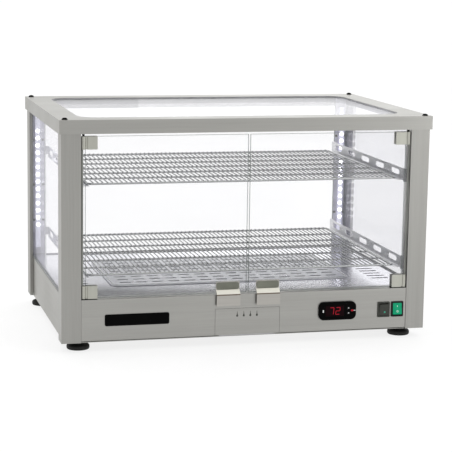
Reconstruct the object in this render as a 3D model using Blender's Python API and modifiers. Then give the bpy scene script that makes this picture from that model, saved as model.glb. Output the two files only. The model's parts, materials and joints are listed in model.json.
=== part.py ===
"""Heated counter-top food display case.

A stainless steel frame with fixed glass on the top, the sides and the back, two glass
doors on patch hinges at the front, two removable wire shelves and a heated base with a
water drawer, a fan, a temperature controller and two rocker switches.

Metres, +Z up.  The front, with the doors, faces -Y.  The origin is on the surface the
case stands on, under the middle of its outer box.
"""

import math

import bmesh
import bpy
from mathutils import Matrix, Vector

MM = 0.001

# Driving sizes.
FRAME_W = 780 * MM
FRAME_D = 520 * MM
BODY_H = 451 * MM
FOOT_H = 20 * MM
SHEET = 1.5 * MM
GLASS = 5 * MM
GAP = 0.3 * MM

# Top frame: a pressed lid whose skirt stands a little outside the posts.
FRAME_LIP = 4 * MM
SKIRT_H = 28 * MM
LID_SHEET = 2 * MM
RIM_W = 48 * MM
OPENING_R = 40 * MM
LINTEL_D = 21 * MM
PLUG_INSET = 12.5 * MM
PLUG_R = 6.2 * MM
PLUG_H = 4 * MM

# Levels.
BODY_BOTTOM = FOOT_H
BODY_TOP = BODY_BOTTOM + BODY_H
SKIRT_BOTTOM = BODY_TOP - SKIRT_H
TOP_GLASS_LOW = BODY_TOP - LID_SHEET - GAP - GLASS
POST_TOP = TOP_GLASS_LOW - GAP
FLOOR_TOP = BODY_BOTTOM + 88 * MM
PAN_SHEET = 1.2 * MM

# Posts: folded angles, open towards the inside of the case, with a narrow lip at the edge
# beside the side glass.
POST_W = 40 * MM
POST_LIP = 6.7 * MM
FRONT_RETURN = 30 * MM
POST_X = FRAME_W / 2 - FRAME_LIP
POST_Y = FRAME_D / 2 - FRAME_LIP
POST_INNER_X = POST_X - POST_W
BETWEEN_POSTS = POST_INNER_X - 0.5 * MM
RACK_X = (351 * MM, 371.3 * MM)
RACK_Z = (188 * MM, 270 * MM, 372 * MM)
RACK_HOLE_R = 2.2 * MM

# Side glass, side panels and rear wall.
SIDE_GLASS_X = 379 * MM
SIDE_PANEL_X = 379 * MM
REAR_GLASS_Y = 253 * MM
REAR_PANEL_Y = 253.5 * MM
FASCIA_Y = -255 * MM
FASCIA_BOTTOM = BODY_BOTTOM + 3 * MM
SILL_BACK_Y = -222.8 * MM

# Door hinges.  The pivot stands close behind the front plane, so the doors clear the
# posts up to their full opening.
PIVOT_X = POST_INNER_X - 5.3 * MM
PIVOT_Y = -POST_Y + 5.5 * MM
PIN_R = 2.5 * MM
PIN_HOLE_R = 2.6 * MM
PIN_DEPTH = 12 * MM
BARREL_R = 4.7 * MM
CLAMP_W = 27.7 * MM
CLAMP_H = 26 * MM
CLAMP_FRONT = 5.2 * MM
CLAMP_BACK = 9.5 * MM
CLAMP_STEP_X = 8 * MM
CLAMP_STEP_FRONT = 2.6 * MM
LOW_CLAMP_BOTTOM = FLOOR_TOP + 2.3 * MM
HIGH_CLAMP_TOP = SKIRT_BOTTOM - 5.2 * MM

# Door glass and pulls.
DOOR_GAP = 4 * MM
DOOR_EDGE = 4 * MM
DOOR_BOTTOM = FLOOR_TOP + 2.8 * MM
DOOR_TOP = HIGH_CLAMP_TOP - 0.3 * MM
PULL_X = 42.4 * MM
PULL_W = 50 * MM
PULL_SHEET = 1.7 * MM
PULL_BACK_Y = -260.3 * MM
PULL_LOW = 22.5 * MM
PULL_BEND_LOW = 1 * MM
PULL_BEND_HIGH = 10 * MM
PULL_TOP = 27 * MM

# Water drawer.
DRAWER_W = 137 * MM
DRAWER_TOP = BODY_BOTTOM + 58.3 * MM
TRAY_W = 120 * MM
TRAY_D = 163 * MM
TRAY_TOP = 60 * MM
TRAY_SHEET = 1.2 * MM

# Floor grille and vents.
GRILLE_W = 524 * MM
GRILLE_D = 276 * MM
GRILLE_R = 22 * MM
GRILLE_BEARING = 6 * MM
GRILLE_COLUMNS = 14
GRILLE_ROWS = 8
GRILLE_PITCH = (35 * MM, 30 * MM)
GRILLE_SLOT = (26 * MM, 7 * MM)
VENT_X = 325 * MM
VENT_Y = -94 * MM
VENT_SLOTS = 5
VENT_PITCH = 26 * MM
VENT_SLOT = (40 * MM, 8 * MM)
VENT_R = 3.6 * MM

# Shelves and their brackets.
SHELF_LEVELS = {"upper": BODY_BOTTOM + 322 * MM, "lower": BODY_BOTTOM + 136 * MM}
SHELF_W = 658 * MM
SHELF_FRONT_Y = -225 * MM
SHELF_BACK_Y = 235 * MM
LONG_WIRES = 7
RODS = 14
WIRE = 4 * MM
BRACKET_X = 340 * MM
BRACKET_H = 25 * MM
BRACKET_FLANGE = 14 * MM
BRACKET_HOLES = 5
BRACKET_HOLE = (52 * MM, 11 * MM)
BRACKET_HOLE_R = 5.2 * MM
BRACKET_FRONT_Y = -POST_Y + 23 * MM
BRACKET_BACK_Y = REAR_GLASS_Y - GLASS - 0.5 * MM
BRACKET_TAB_DROP = 4 * MM
BRACKET_TRIM = 0.5 * MM
HOOK_X = (POST_INNER_X + 1.2 * MM, POST_INNER_X + 2.6 * MM)
HOOK_Z = (9 * MM, BRACKET_H - 4 * MM)

# Light strips.
LED_X = 363 * MM
LED_W = 11 * MM
LED_T = 4 * MM
LED_Z = (BODY_BOTTOM + 105 * MM, BODY_BOTTOM + 420 * MM)

# Controller.
CONTROL_X = 193.7 * MM
CONTROL_Z = 65 * MM
CONTROL_SIZE = (81.5 * MM, 38.5 * MM)
CONTROL_CUT = (71 * MM, 29 * MM)
CONTROL_R = 11 * MM
CONTROL_PROUD = 4 * MM
CONTROL_DEPTH = 50 * MM
WINDOW_SIZE = (40 * MM, 22 * MM)
WINDOW_T = 1 * MM
WINDOW_SHIFT = -6 * MM
KEYS = {"up": (24 * MM, 5.5 * MM), "down": (24 * MM, -5.5 * MM), "set": (32 * MM, 0)}
KEY_SIZE = (6 * MM, 5 * MM)
KEY_DEPTH = 3 * MM
KEY_PROUD = 0.6 * MM
KEY_ROOM = 1.2 * MM

# Rocker switches.
SWITCH_Z = 63.3 * MM
SWITCHES = {"light": (296.5 * MM, 8), "power": (326.6 * MM, -8)}
SWITCH_SIZE = (26.6 * MM, 32.6 * MM)
SWITCH_CUT = (22.6 * MM, 28.8 * MM)
SWITCH_HOLE = (20 * MM, 26.6 * MM)
SWITCH_PROUD = 2.4 * MM
SWITCH_DEPTH = 18 * MM
SWITCH_WELL = 12 * MM
ROCKER_SIZE = (19 * MM, 24 * MM)
ROCKER_T = 9 * MM

# Feet, gland, heater and fan.
FEET = {"front": (346 * MM, -215 * MM), "rear": (359.5 * MM, 209 * MM)}
FOOT_R = 23.5 * MM
FOOT_DISC = 10 * MM
FOOT_HUB_R = 13 * MM
GLAND_X = -300 * MM
GLAND_Z = 58 * MM
GLAND_BACK_Y = 262 * MM
GLAND_HOLE_R = 8 * MM
GLAND_DEPTH = 6 * MM
HEATER_Z = 92 * MM
HEATER_R = 4 * MM
HEATER_REACH = 210 * MM
HEATER_BEND = 80 * MM
FAN_SIZE = 80 * MM
FAN_T = 25 * MM
FAN_TOP = FLOOR_TOP - SHEET - GAP
FAN_BORE_R = 37 * MM
FAN_MOTOR_R = 15 * MM
FAN_HUB_R = 14 * MM
FAN_SPOKES = 3
FAN_SPOKE_W = 4 * MM
FAN_SPOKE_T = 3 * MM
FAN_BLADES = 7
FAN_BLADE_R = 33.5 * MM
FAN_BLADE_T = 1.6 * MM
FAN_BLADE_TILT = math.radians(35)
FAN_BLADE_SHARE = 0.84


# ---------------------------------------------------------------- scene and materials

def clear_scene():
    """Empty the file of objects and their data."""
    for item in list(bpy.data.objects):
        bpy.data.objects.remove(item, do_unlink=True)
    for mesh in list(bpy.data.meshes):
        bpy.data.meshes.remove(mesh)


def new_collection(name):
    """A collection linked to the scene."""
    collection = bpy.data.collections.new(name)
    bpy.context.scene.collection.children.link(collection)
    return collection


def new_material(name, color, roughness, metallic, alpha=1.0):
    """A Principled material."""
    material = bpy.data.materials.new(name)
    material.use_nodes = True
    shader = material.node_tree.nodes["Principled BSDF"]
    shader.inputs["Base Color"].default_value = (*color, 1.0)
    shader.inputs["Roughness"].default_value = roughness
    shader.inputs["Metallic"].default_value = metallic
    shader.inputs["Alpha"].default_value = alpha
    return material


clear_scene()
PARTS = new_collection("hot_food_display_case")
CUTTERS = new_collection("cutters")

STEEL = new_material("brushed_steel", (0.36, 0.36, 0.35), 0.35, 1.0)
BRIGHT = new_material("bright_steel", (0.55, 0.55, 0.56), 0.2, 1.0)
CLEAR = new_material("clear_glass", (0.86, 0.88, 0.88), 0.02, 0.0, 0.3)
BLACK = new_material("black_plastic", (0.02, 0.02, 0.02), 0.4, 0.0)
RUBBER = new_material("black_rubber", (0.02, 0.02, 0.02), 0.7, 0.0)
LENS = new_material("smoked_lens", (0.03, 0.01, 0.01), 0.1, 0.0)
GREEN = new_material("green_lens", (0.02, 0.45, 0.28), 0.2, 0.0)
LIGHT = new_material("led_diffuser", (0.9, 0.92, 0.95), 0.4, 0.0)


# ---------------------------------------------------------------- building blocks

def add_object(name, mesh, location, material, collection=None):
    """An object with its mesh centred on its own origin."""
    item = bpy.data.objects.new(name, mesh)
    item.location = location
    (collection or PARTS).objects.link(item)
    if material is not None:
        mesh.materials.append(material)
    return item


def mesh_from(bm, name):
    """A mesh made from a bmesh, which is freed."""
    mesh = bpy.data.meshes.new(name)
    bm.to_mesh(mesh)
    bm.free()
    return mesh


def box(name, low, high, material=None, collection=None):
    """A box between two corners."""
    low = Vector(low)
    high = Vector(high)
    bm = bmesh.new()
    bmesh.ops.create_cube(bm, size=1.0, matrix=Matrix.Diagonal((*(high - low), 1.0)))
    return add_object(name, mesh_from(bm, name), (low + high) / 2, material, collection)


def rounded_box(name, low, high, axis, radius, material=None, collection=None, segments=4):
    """A box whose four edges along one axis are rounded."""
    low = Vector(low)
    high = Vector(high)
    bm = bmesh.new()
    bmesh.ops.create_cube(bm, size=1.0, matrix=Matrix.Diagonal((*(high - low), 1.0)))
    edges = []
    for edge in bm.edges:
        run = edge.verts[1].co - edge.verts[0].co
        if abs(run[axis]) > 0.9 * run.length:
            edges.append(edge)
    bmesh.ops.bevel(bm, geom=edges, offset=radius, segments=segments, profile=0.5,
                    affect="EDGES")
    return add_object(name, mesh_from(bm, name), (low + high) / 2, material, collection)


def cylinder(name, centre, radius, length, axis, material=None, collection=None, sides=24):
    """A cylinder along X, Y or Z."""
    turn = {0: Matrix.Rotation(math.pi / 2, 4, "Y"),
            1: Matrix.Rotation(math.pi / 2, 4, "X"),
            2: Matrix.Identity(4)}[axis]
    bm = bmesh.new()
    bmesh.ops.create_cone(bm, cap_ends=True, segments=sides, radius1=radius, radius2=radius,
                          depth=length, matrix=turn)
    item = add_object(name, mesh_from(bm, name), centre, material, collection)
    smooth(item)
    return item


def turned(name, profile, location, material, steps=20):
    """A solid of revolution about Z; the profile runs top to bottom, ends on the axis."""
    mesh = bpy.data.meshes.new(name)
    points = [(radius, 0.0, height) for radius, height in profile]
    mesh.from_pydata(points, [(i, i + 1) for i in range(len(points) - 1)], [])
    item = add_object(name, mesh, location, material)
    screw = item.modifiers.new("turn", "SCREW")
    screw.angle = 2 * math.pi
    screw.steps = steps
    screw.render_steps = steps
    screw.use_merge_vertices = True
    screw.merge_threshold = 0.00005
    return item


def folded_sheet(name, path, start, end, axis, thickness, material):
    """A bent sheet: a path in a plane, drawn out along the axis normal to that plane.

    The thickness grows to the left of the path.
    """
    def place(point, along):
        if axis == 2:
            return (point[0], point[1], along)
        return (along, point[0], point[1])

    mesh = bpy.data.meshes.new(name)
    verts = [place(p, start) for p in path] + [place(p, end) for p in path]
    count = len(path)
    faces = [(i, i + 1, count + i + 1, count + i) for i in range(count - 1)]
    mesh.from_pydata(verts, [], faces)
    item = add_object(name, mesh, (0, 0, 0), material)
    solid = item.modifiers.new("sheet", "SOLIDIFY")
    solid.thickness = thickness
    solid.offset = -1.0
    solid.use_even_offset = True
    return item


def hide_tool(tool):
    """Mark an object as a tool for a Boolean only."""
    tool.hide_render = True
    tool.display_type = "WIRE"


def combine(item, tool, operation):
    """Apply a live Boolean to an object."""
    hide_tool(tool)
    modifier = item.modifiers.new(operation.lower(), "BOOLEAN")
    modifier.operation = operation
    modifier.solver = "EXACT"
    modifier.object = tool


def cut(item, *tools):
    """Take tools away from an object."""
    for tool in tools:
        combine(item, tool, "DIFFERENCE")


def join(item, *tools):
    """Add tools to an object."""
    for tool in tools:
        combine(item, tool, "UNION")


def tool_box(name, low, high):
    """A box used only as a Boolean tool."""
    return box(name, low, high, collection=CUTTERS)


def tool_cells(name, cells, size, axis, radius=0.0):
    """One tool made of separate boxes of one size, rounded along one axis."""
    bm = bmesh.new()
    for centre in cells:
        shape = Matrix.Translation(centre) @ Matrix.Diagonal((*size, 1.0))
        made = bmesh.ops.create_cube(bm, size=1.0, matrix=shape)
        if radius == 0.0:
            continue
        edges = []
        for edge in {e for v in made["verts"] for e in v.link_edges}:
            run = edge.verts[1].co - edge.verts[0].co
            if abs(run[axis]) > 0.9 * run.length:
                edges.append(edge)
        bmesh.ops.bevel(bm, geom=edges, offset=radius, segments=2, profile=0.5,
                        affect="EDGES")
    return add_object(name, mesh_from(bm, name), (0, 0, 0), None, CUTTERS)


def smooth(item):
    """Shade a round piece smooth, with its sharp edges kept."""
    item.data.shade_smooth()
    item.data.set_sharp_from_angle(angle=math.radians(40))


def carrier(name, location, rotation=(0, 0, 0)):
    """An empty on a joint's axis, which carries the pieces that move on it."""
    empty = bpy.data.objects.new(name, None)
    empty.location = location
    empty.rotation_euler = rotation
    PARTS.objects.link(empty)
    return empty


def carry(empty, *items):
    """Parent pieces to a joint's empty, where they stand."""
    for item in items:
        item.location = Vector(item.location) - Vector(empty.location)
        item.parent = empty


def side_name(side):
    """The word for a side: -1 is the left as seen from the front."""
    return "left" if side < 0 else "right"


def mirrored(path, side):
    """A path for the right, or its mirror image for the left, with the same left hand."""
    if side > 0:
        return path
    return [(-x, y) for x, y in reversed(path)]


# ---------------------------------------------------------------- frame and glass

def top_frame():
    """The lid: a sheet with a window, a skirt all round and a lintel above the doors."""
    half_w = FRAME_W / 2
    half_d = FRAME_D / 2
    lid = box("top_frame", (-half_w, -half_d, SKIRT_BOTTOM), (half_w, half_d, BODY_TOP), STEEL)
    under = tool_box("lid_inside", (-half_w + SHEET, -half_d + SHEET, SKIRT_BOTTOM - SHEET),
                     (half_w - SHEET, half_d - SHEET, BODY_TOP - LID_SHEET))
    window = rounded_box("lid_window",
                         (-half_w + RIM_W, -half_d + RIM_W, BODY_TOP - 2 * LID_SHEET),
                         (half_w - RIM_W, half_d - RIM_W, BODY_TOP + LID_SHEET),
                         2, OPENING_R, collection=CUTTERS, segments=6)
    cut(lid, under, window)
    lintel = tool_box("lintel", (-BETWEEN_POSTS, -half_d + SHEET / 2, SKIRT_BOTTOM),
                      (BETWEEN_POSTS, -half_d + LINTEL_D, SKIRT_BOTTOM + SHEET))
    join(lid, lintel)


def corner_plugs():
    """A domed plastic plug over the screw at each corner of the lid."""
    for side in (-1, 1):
        for end, word in ((-1, "front"), (1, "rear")):
            profile = [(0.0, PLUG_H)]
            for step in range(1, 5):
                angle = math.pi / 2 * (1 - step / 4)
                profile.append((PLUG_R * math.cos(angle), PLUG_H * math.sin(angle)))
            profile[-1] = (PLUG_R, 0.8 * MM)
            profile.append((PLUG_R, GAP))
            profile.append((0.0, GAP))
            plug = turned(f"corner_plug_{word}_{side_name(side)}", profile,
                          (side * (FRAME_W / 2 - PLUG_INSET), end * (FRAME_D / 2 - PLUG_INSET),
                           BODY_TOP), BLACK, 16)
            smooth(plug)


def posts():
    """The four corner posts, the rear ones with holes for the shelf brackets."""
    for side in (-1, 1):
        word = side_name(side)
        front = [(POST_INNER_X, -POST_Y + FRONT_RETURN), (POST_INNER_X, -POST_Y),
                 (POST_X, -POST_Y), (POST_X, -POST_Y + POST_W),
                 (POST_X - POST_LIP, -POST_Y + POST_W)]
        folded_sheet(f"post_front_{word}", mirrored(front, side), BODY_BOTTOM, POST_TOP, 2,
                     SHEET, STEEL)
        rear = [(POST_X - POST_LIP, POST_Y - POST_W), (POST_X, POST_Y - POST_W),
                (POST_X, POST_Y), (POST_INNER_X, POST_Y)]
        post = folded_sheet(f"post_rear_{word}", mirrored(rear, side), BODY_BOTTOM, POST_TOP, 2,
                            SHEET, STEEL)
        cells = [(side * x, POST_Y - SHEET / 2, z) for x in RACK_X for z in RACK_Z]
        across = 2 * RACK_HOLE_R
        cut(post, tool_cells(f"rack_holes_{word}", cells, (across, 3 * SHEET, across), 1,
                             0.45 * across))


def fixed_glass():
    """The panes on top, at the sides and at the back."""
    top_x = FRAME_W / 2 - 6 * MM
    top_y = FRAME_D / 2 - 6 * MM
    box("top_glass", (-top_x, -top_y, TOP_GLASS_LOW), (top_x, top_y, TOP_GLASS_LOW + GLASS), CLEAR)
    end = POST_Y - SHEET - GAP
    for side in (-1, 1):
        outer = side * SIDE_GLASS_X
        inner = side * (SIDE_GLASS_X - GLASS)
        box(f"side_glass_{side_name(side)}", (min(outer, inner), -end, FLOOR_TOP + GAP),
            (max(outer, inner), end, POST_TOP), CLEAR)
    box("rear_glass", (-BETWEEN_POSTS, REAR_GLASS_Y - GLASS, FLOOR_TOP + GAP),
        (BETWEEN_POSTS, REAR_GLASS_Y, POST_TOP), CLEAR)


def light_strips():
    """A row of lamps in a slim profile up each rear post."""
    back = POST_Y - SHEET - GAP
    for side in (-1, 1):
        box(f"led_strip_{side_name(side)}",
            (side * LED_X - LED_W / 2, back - LED_T, LED_Z[0]),
            (side * LED_X + LED_W / 2, back, LED_Z[1]), LIGHT)


# ---------------------------------------------------------------- doors

def clamp(name, side, low_z, high_z, hole_from, material):
    """A hinge clamp that grips the glass, with a round barrel at its outer end.

    Distances from the pivot run inwards along the door, and forwards in front of it.
    """
    def span(inward_a, inward_b, forward_a, forward_b):
        xs = sorted((side * (PIVOT_X - inward_a), side * (PIVOT_X - inward_b)))
        ys = sorted((PIVOT_Y - forward_a, PIVOT_Y - forward_b))
        return (xs[0], ys[0], low_z), (xs[1], ys[1], high_z)

    low, high = span(CLAMP_STEP_X, CLAMP_W, -CLAMP_BACK, CLAMP_FRONT)
    item = box(name, low, high, material)
    low, high = span(0, CLAMP_STEP_X + 1 * MM, -CLAMP_BACK, CLAMP_STEP_FRONT)
    web = tool_box(name + "_web", low, high)
    middle_z = (low_z + high_z) / 2
    barrel = cylinder(name + "_barrel", (side * PIVOT_X, PIVOT_Y, middle_z), BARREL_R,
                      high_z - low_z, 2, collection=CUTTERS)
    join(item, web, barrel)
    low, high = span(DOOR_EDGE - GAP, CLAMP_W + 1 * MM, -GLASS - GAP, GAP)
    slot = tool_box(name + "_slot", (low[0], low[1], low_z - 1 * MM),
                    (high[0], high[1], high_z + 1 * MM))
    hole_length = PIN_DEPTH + 1.5 * MM
    hole_middle = hole_from + math.copysign(hole_length / 2 - 0.5 * MM, middle_z - hole_from)
    hole = cylinder(name + "_hole", (side * PIVOT_X, PIVOT_Y, hole_middle), PIN_HOLE_R,
                    hole_length, 2, collection=CUTTERS)
    cut(item, slot, hole)
    return item


def pull(side):
    """A bent steel tab on the lower edge of a door: fingers go behind its front flange."""
    path = [(PULL_BACK_Y, FLOOR_TOP - PULL_LOW), (PULL_BACK_Y, FLOOR_TOP + PULL_BEND_LOW),
            (PIVOT_Y - GAP, FLOOR_TOP + PULL_BEND_HIGH), (PIVOT_Y - GAP, FLOOR_TOP + PULL_TOP)]
    centre = side * PULL_X
    return folded_sheet(f"door_handle_{side_name(side)}", path, centre - PULL_W / 2,
                        centre + PULL_W / 2, 0, PULL_SHEET, BRIGHT)


def doors():
    """Two glass doors with their clamps and pulls, and the four pins that they turn on."""
    for side in (-1, 1):
        word = side_name(side)
        axis = carrier(f"door_axis_{word}", (side * PIVOT_X, PIVOT_Y, 0))
        xs = sorted((side * DOOR_GAP / 2, side * (PIVOT_X - DOOR_EDGE)))
        pane = box(f"door_glass_{word}", (xs[0], PIVOT_Y, DOOR_BOTTOM),
                   (xs[1], PIVOT_Y + GLASS, DOOR_TOP), CLEAR)
        low = clamp(f"hinge_clamp_bottom_{word}", side, LOW_CLAMP_BOTTOM,
                    LOW_CLAMP_BOTTOM + CLAMP_H, LOW_CLAMP_BOTTOM, BRIGHT)
        high = clamp(f"hinge_clamp_top_{word}", side, HIGH_CLAMP_TOP - CLAMP_H,
                     HIGH_CLAMP_TOP, HIGH_CLAMP_TOP, BRIGHT)
        carry(axis, pane, low, high, pull(side))
        pin("bottom", word, side, FLOOR_TOP + GAP, LOW_CLAMP_BOTTOM + PIN_DEPTH)
        pin("top", word, side, HIGH_CLAMP_TOP - PIN_DEPTH, SKIRT_BOTTOM - GAP)


def pin(level, word, side, low_z, high_z):
    """A hinge pin, fixed to the lintel or to the sill."""
    cylinder(f"hinge_pin_{level}_{word}", (side * PIVOT_X, PIVOT_Y, (low_z + high_z) / 2),
             PIN_R, high_z - low_z, 2, BLACK)


# ---------------------------------------------------------------- base

def fascia():
    """The front panel, cut out for the drawer, the controller and the switches."""
    panel = box("front_fascia", (-BETWEEN_POSTS, FASCIA_Y, FASCIA_BOTTOM),
                (BETWEEN_POSTS, FASCIA_Y + SHEET, FLOOR_TOP), STEEL)
    drawer = tool_box("drawer_cut", (-DRAWER_W / 2 - 0.5 * MM, FASCIA_Y - SHEET, 0),
                      (DRAWER_W / 2 + 0.5 * MM, FASCIA_Y + 2 * SHEET, DRAWER_TOP + 0.5 * MM))
    cut(panel, drawer, panel_cut("control_cut", CONTROL_X, CONTROL_Z, CONTROL_CUT))
    for word, (x, _) in SWITCHES.items():
        cut(panel, panel_cut(f"{word}_switch_cut", x, SWITCH_Z, SWITCH_CUT))


def panel_cut(name, x, z, size):
    """A rectangular cut-out through the fascia."""
    return tool_box(name, (x - size[0] / 2, FASCIA_Y - SHEET, z - size[1] / 2),
                    (x + size[0] / 2, FASCIA_Y + 2 * SHEET, z + size[1] / 2))


def base_shell():
    """The side and rear panels, the bottom pan and the sill under the doors."""
    end = POST_Y - SHEET - GAP
    for side in (-1, 1):
        outer = side * SIDE_PANEL_X
        inner = side * (SIDE_PANEL_X - SHEET)
        box(f"side_panel_{side_name(side)}", (min(outer, inner), -end, BODY_BOTTOM),
            (max(outer, inner), end, FLOOR_TOP), STEEL)
    rear = box("rear_panel", (-BETWEEN_POSTS, REAR_PANEL_Y - SHEET, FASCIA_BOTTOM),
               (BETWEEN_POSTS, REAR_PANEL_Y, FLOOR_TOP), STEEL)
    cut(rear, cylinder("gland_hole", (GLAND_X, REAR_PANEL_Y, GLAND_Z), GLAND_HOLE_R, 4 * SHEET,
                       1, collection=CUTTERS))
    wide_x = SIDE_PANEL_X - SHEET - GAP
    between_y = POST_Y - POST_W - 0.5 * MM
    inner_y = REAR_PANEL_Y - SHEET - GAP
    pan = box("bottom_pan", (-wide_x, -between_y, BODY_BOTTOM),
              (wide_x, between_y, BODY_BOTTOM + PAN_SHEET), STEEL)
    join(pan, tool_box("pan_wings", (-BETWEEN_POSTS, FASCIA_Y + SHEET + GAP, BODY_BOTTOM),
                       (BETWEEN_POSTS, inner_y, BODY_BOTTOM + PAN_SHEET)))
    box("door_sill", (-BETWEEN_POSTS, FASCIA_Y + SHEET + GAP, FLOOR_TOP - SHEET),
        (BETWEEN_POSTS, SILL_BACK_Y, FLOOR_TOP), STEEL)


def floor_and_grille():
    """The heated compartment's floor, with vents over the fan, and its slotted grille."""
    wide_x = SIDE_PANEL_X - SHEET - GAP
    plate = box("floor_plate", (-wide_x, SILL_BACK_Y + GAP, FLOOR_TOP - SHEET),
                (wide_x, REAR_PANEL_Y - SHEET - GAP, FLOOR_TOP), BRIGHT)
    through = 4 * SHEET
    well_x = GRILLE_W / 2 - GRILLE_BEARING
    well_y = GRILLE_D / 2 - GRILLE_BEARING
    well = rounded_box("grille_well", (-well_x, -well_y, FLOOR_TOP - through),
                       (well_x, well_y, FLOOR_TOP + through), 2, GRILLE_R - GRILLE_BEARING,
                       collection=CUTTERS)
    middle = (VENT_SLOTS - 1) / 2
    cells = [(side * VENT_X, VENT_Y + (row - middle) * VENT_PITCH, FLOOR_TOP)
             for side in (-1, 1) for row in range(VENT_SLOTS)]
    cut(plate, well, tool_cells("vents", cells, (*VENT_SLOT, through), 2, VENT_R))
    grille_low = FLOOR_TOP + GAP
    grille = rounded_box("floor_grille", (-GRILLE_W / 2, -GRILLE_D / 2, grille_low),
                         (GRILLE_W / 2, GRILLE_D / 2, grille_low + SHEET), 2, GRILLE_R, BRIGHT)
    slots = []
    for row in range(GRILLE_ROWS):
        for column in range(GRILLE_COLUMNS):
            slots.append(((column - (GRILLE_COLUMNS - 1) / 2) * GRILLE_PITCH[0],
                          (row - (GRILLE_ROWS - 1) / 2) * GRILLE_PITCH[1], grille_low))
    cut(grille, tool_cells("grille_slots", slots, (*GRILLE_SLOT, through), 2))


def drawer():
    """The water drawer: a flush front and an open tray behind it."""
    slide = carrier("drawer_slide", (0, FASCIA_Y, 0))
    front = box("drawer_front", (-DRAWER_W / 2, FASCIA_Y, FASCIA_BOTTOM),
                (DRAWER_W / 2, FASCIA_Y + SHEET, DRAWER_TOP), STEEL)
    tray_front = FASCIA_Y + SHEET + GAP
    tray_low = BODY_BOTTOM + PAN_SHEET + GAP
    tray = box("water_tray", (-TRAY_W / 2, tray_front, tray_low),
               (TRAY_W / 2, tray_front + TRAY_D, TRAY_TOP), BRIGHT)
    cut(tray, tool_box("tray_hollow", (-TRAY_W / 2 + TRAY_SHEET, tray_front + TRAY_SHEET,
                                       tray_low + TRAY_SHEET),
                       (TRAY_W / 2 - TRAY_SHEET, tray_front + TRAY_D - TRAY_SHEET,
                        TRAY_TOP + TRAY_SHEET)))
    carry(slide, front, tray)


def feet():
    """Four threaded levelling feet."""
    for side in (-1, 1):
        for word, (foot_x, foot_y) in FEET.items():
            top = FOOT_H - GAP
            profile = [(0.0, top), (FOOT_HUB_R - 1 * MM, top), (FOOT_HUB_R, top - 2 * MM),
                       (FOOT_HUB_R, FOOT_DISC + 1 * MM), (FOOT_R - 3 * MM, FOOT_DISC),
                       (FOOT_R, FOOT_DISC - 3 * MM), (FOOT_R, 1 * MM),
                       (FOOT_R - 1 * MM, 0.0), (0.0, 0.0)]
            foot = turned(f"foot_{word}_{side_name(side)}", profile, (0, 0, 0), RUBBER)
            smooth(foot)
            axis = carrier(f"foot_axis_{word}_{side_name(side)}", (side * foot_x, foot_y, 0))
            foot.parent = axis


def cable_gland():
    """The mains cable's gland in the rear panel, gripping the sheet between two flanges."""
    sheet_front = REAR_PANEL_Y - SHEET
    inner = sheet_front - GLAND_DEPTH
    reach = GLAND_BACK_Y - inner
    neck_a = sheet_front - GAP - inner
    neck_b = REAR_PANEL_Y + GAP - inner
    profile = [(0.0, reach), (5 * MM, reach), (8 * MM, reach - 3 * MM), (12 * MM, reach - 4 * MM),
               (12 * MM, neck_b), (7.6 * MM, neck_b), (7.6 * MM, neck_a), (11 * MM, neck_a),
               (11 * MM, 0.0), (0.0, 0.0)]
    gland = turned("cable_gland", profile, (GLAND_X, inner, GLAND_Z), BLACK)
    gland.rotation_euler = (-math.pi / 2, 0, 0)
    smooth(gland)


def heater():
    """The tubular heating element: a hairpin under the grille."""
    curve = bpy.data.curves.new("heater_element", "CURVE")
    curve.dimensions = "3D"
    curve.bevel_depth = HEATER_R
    curve.bevel_resolution = 2
    curve.use_fill_caps = True
    steps = 12
    points = [(-HEATER_REACH, -HEATER_BEND)]
    for step in range(steps + 1):
        angle = -math.pi / 2 + math.pi * step / steps
        points.append((HEATER_REACH - HEATER_BEND + HEATER_BEND * math.cos(angle),
                       HEATER_BEND * math.sin(angle)))
    points.append((-HEATER_REACH, HEATER_BEND))
    spline = curve.splines.new("POLY")
    spline.points.add(len(points) - 1)
    for point, (x, y) in zip(spline.points, points):
        point.co = (x, y, 0.0, 1.0)
    tube = bpy.data.objects.new("heater_element", curve)
    tube.location = (0, 0, HEATER_Z)
    curve.materials.append(STEEL)
    PARTS.objects.link(tube)


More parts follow.
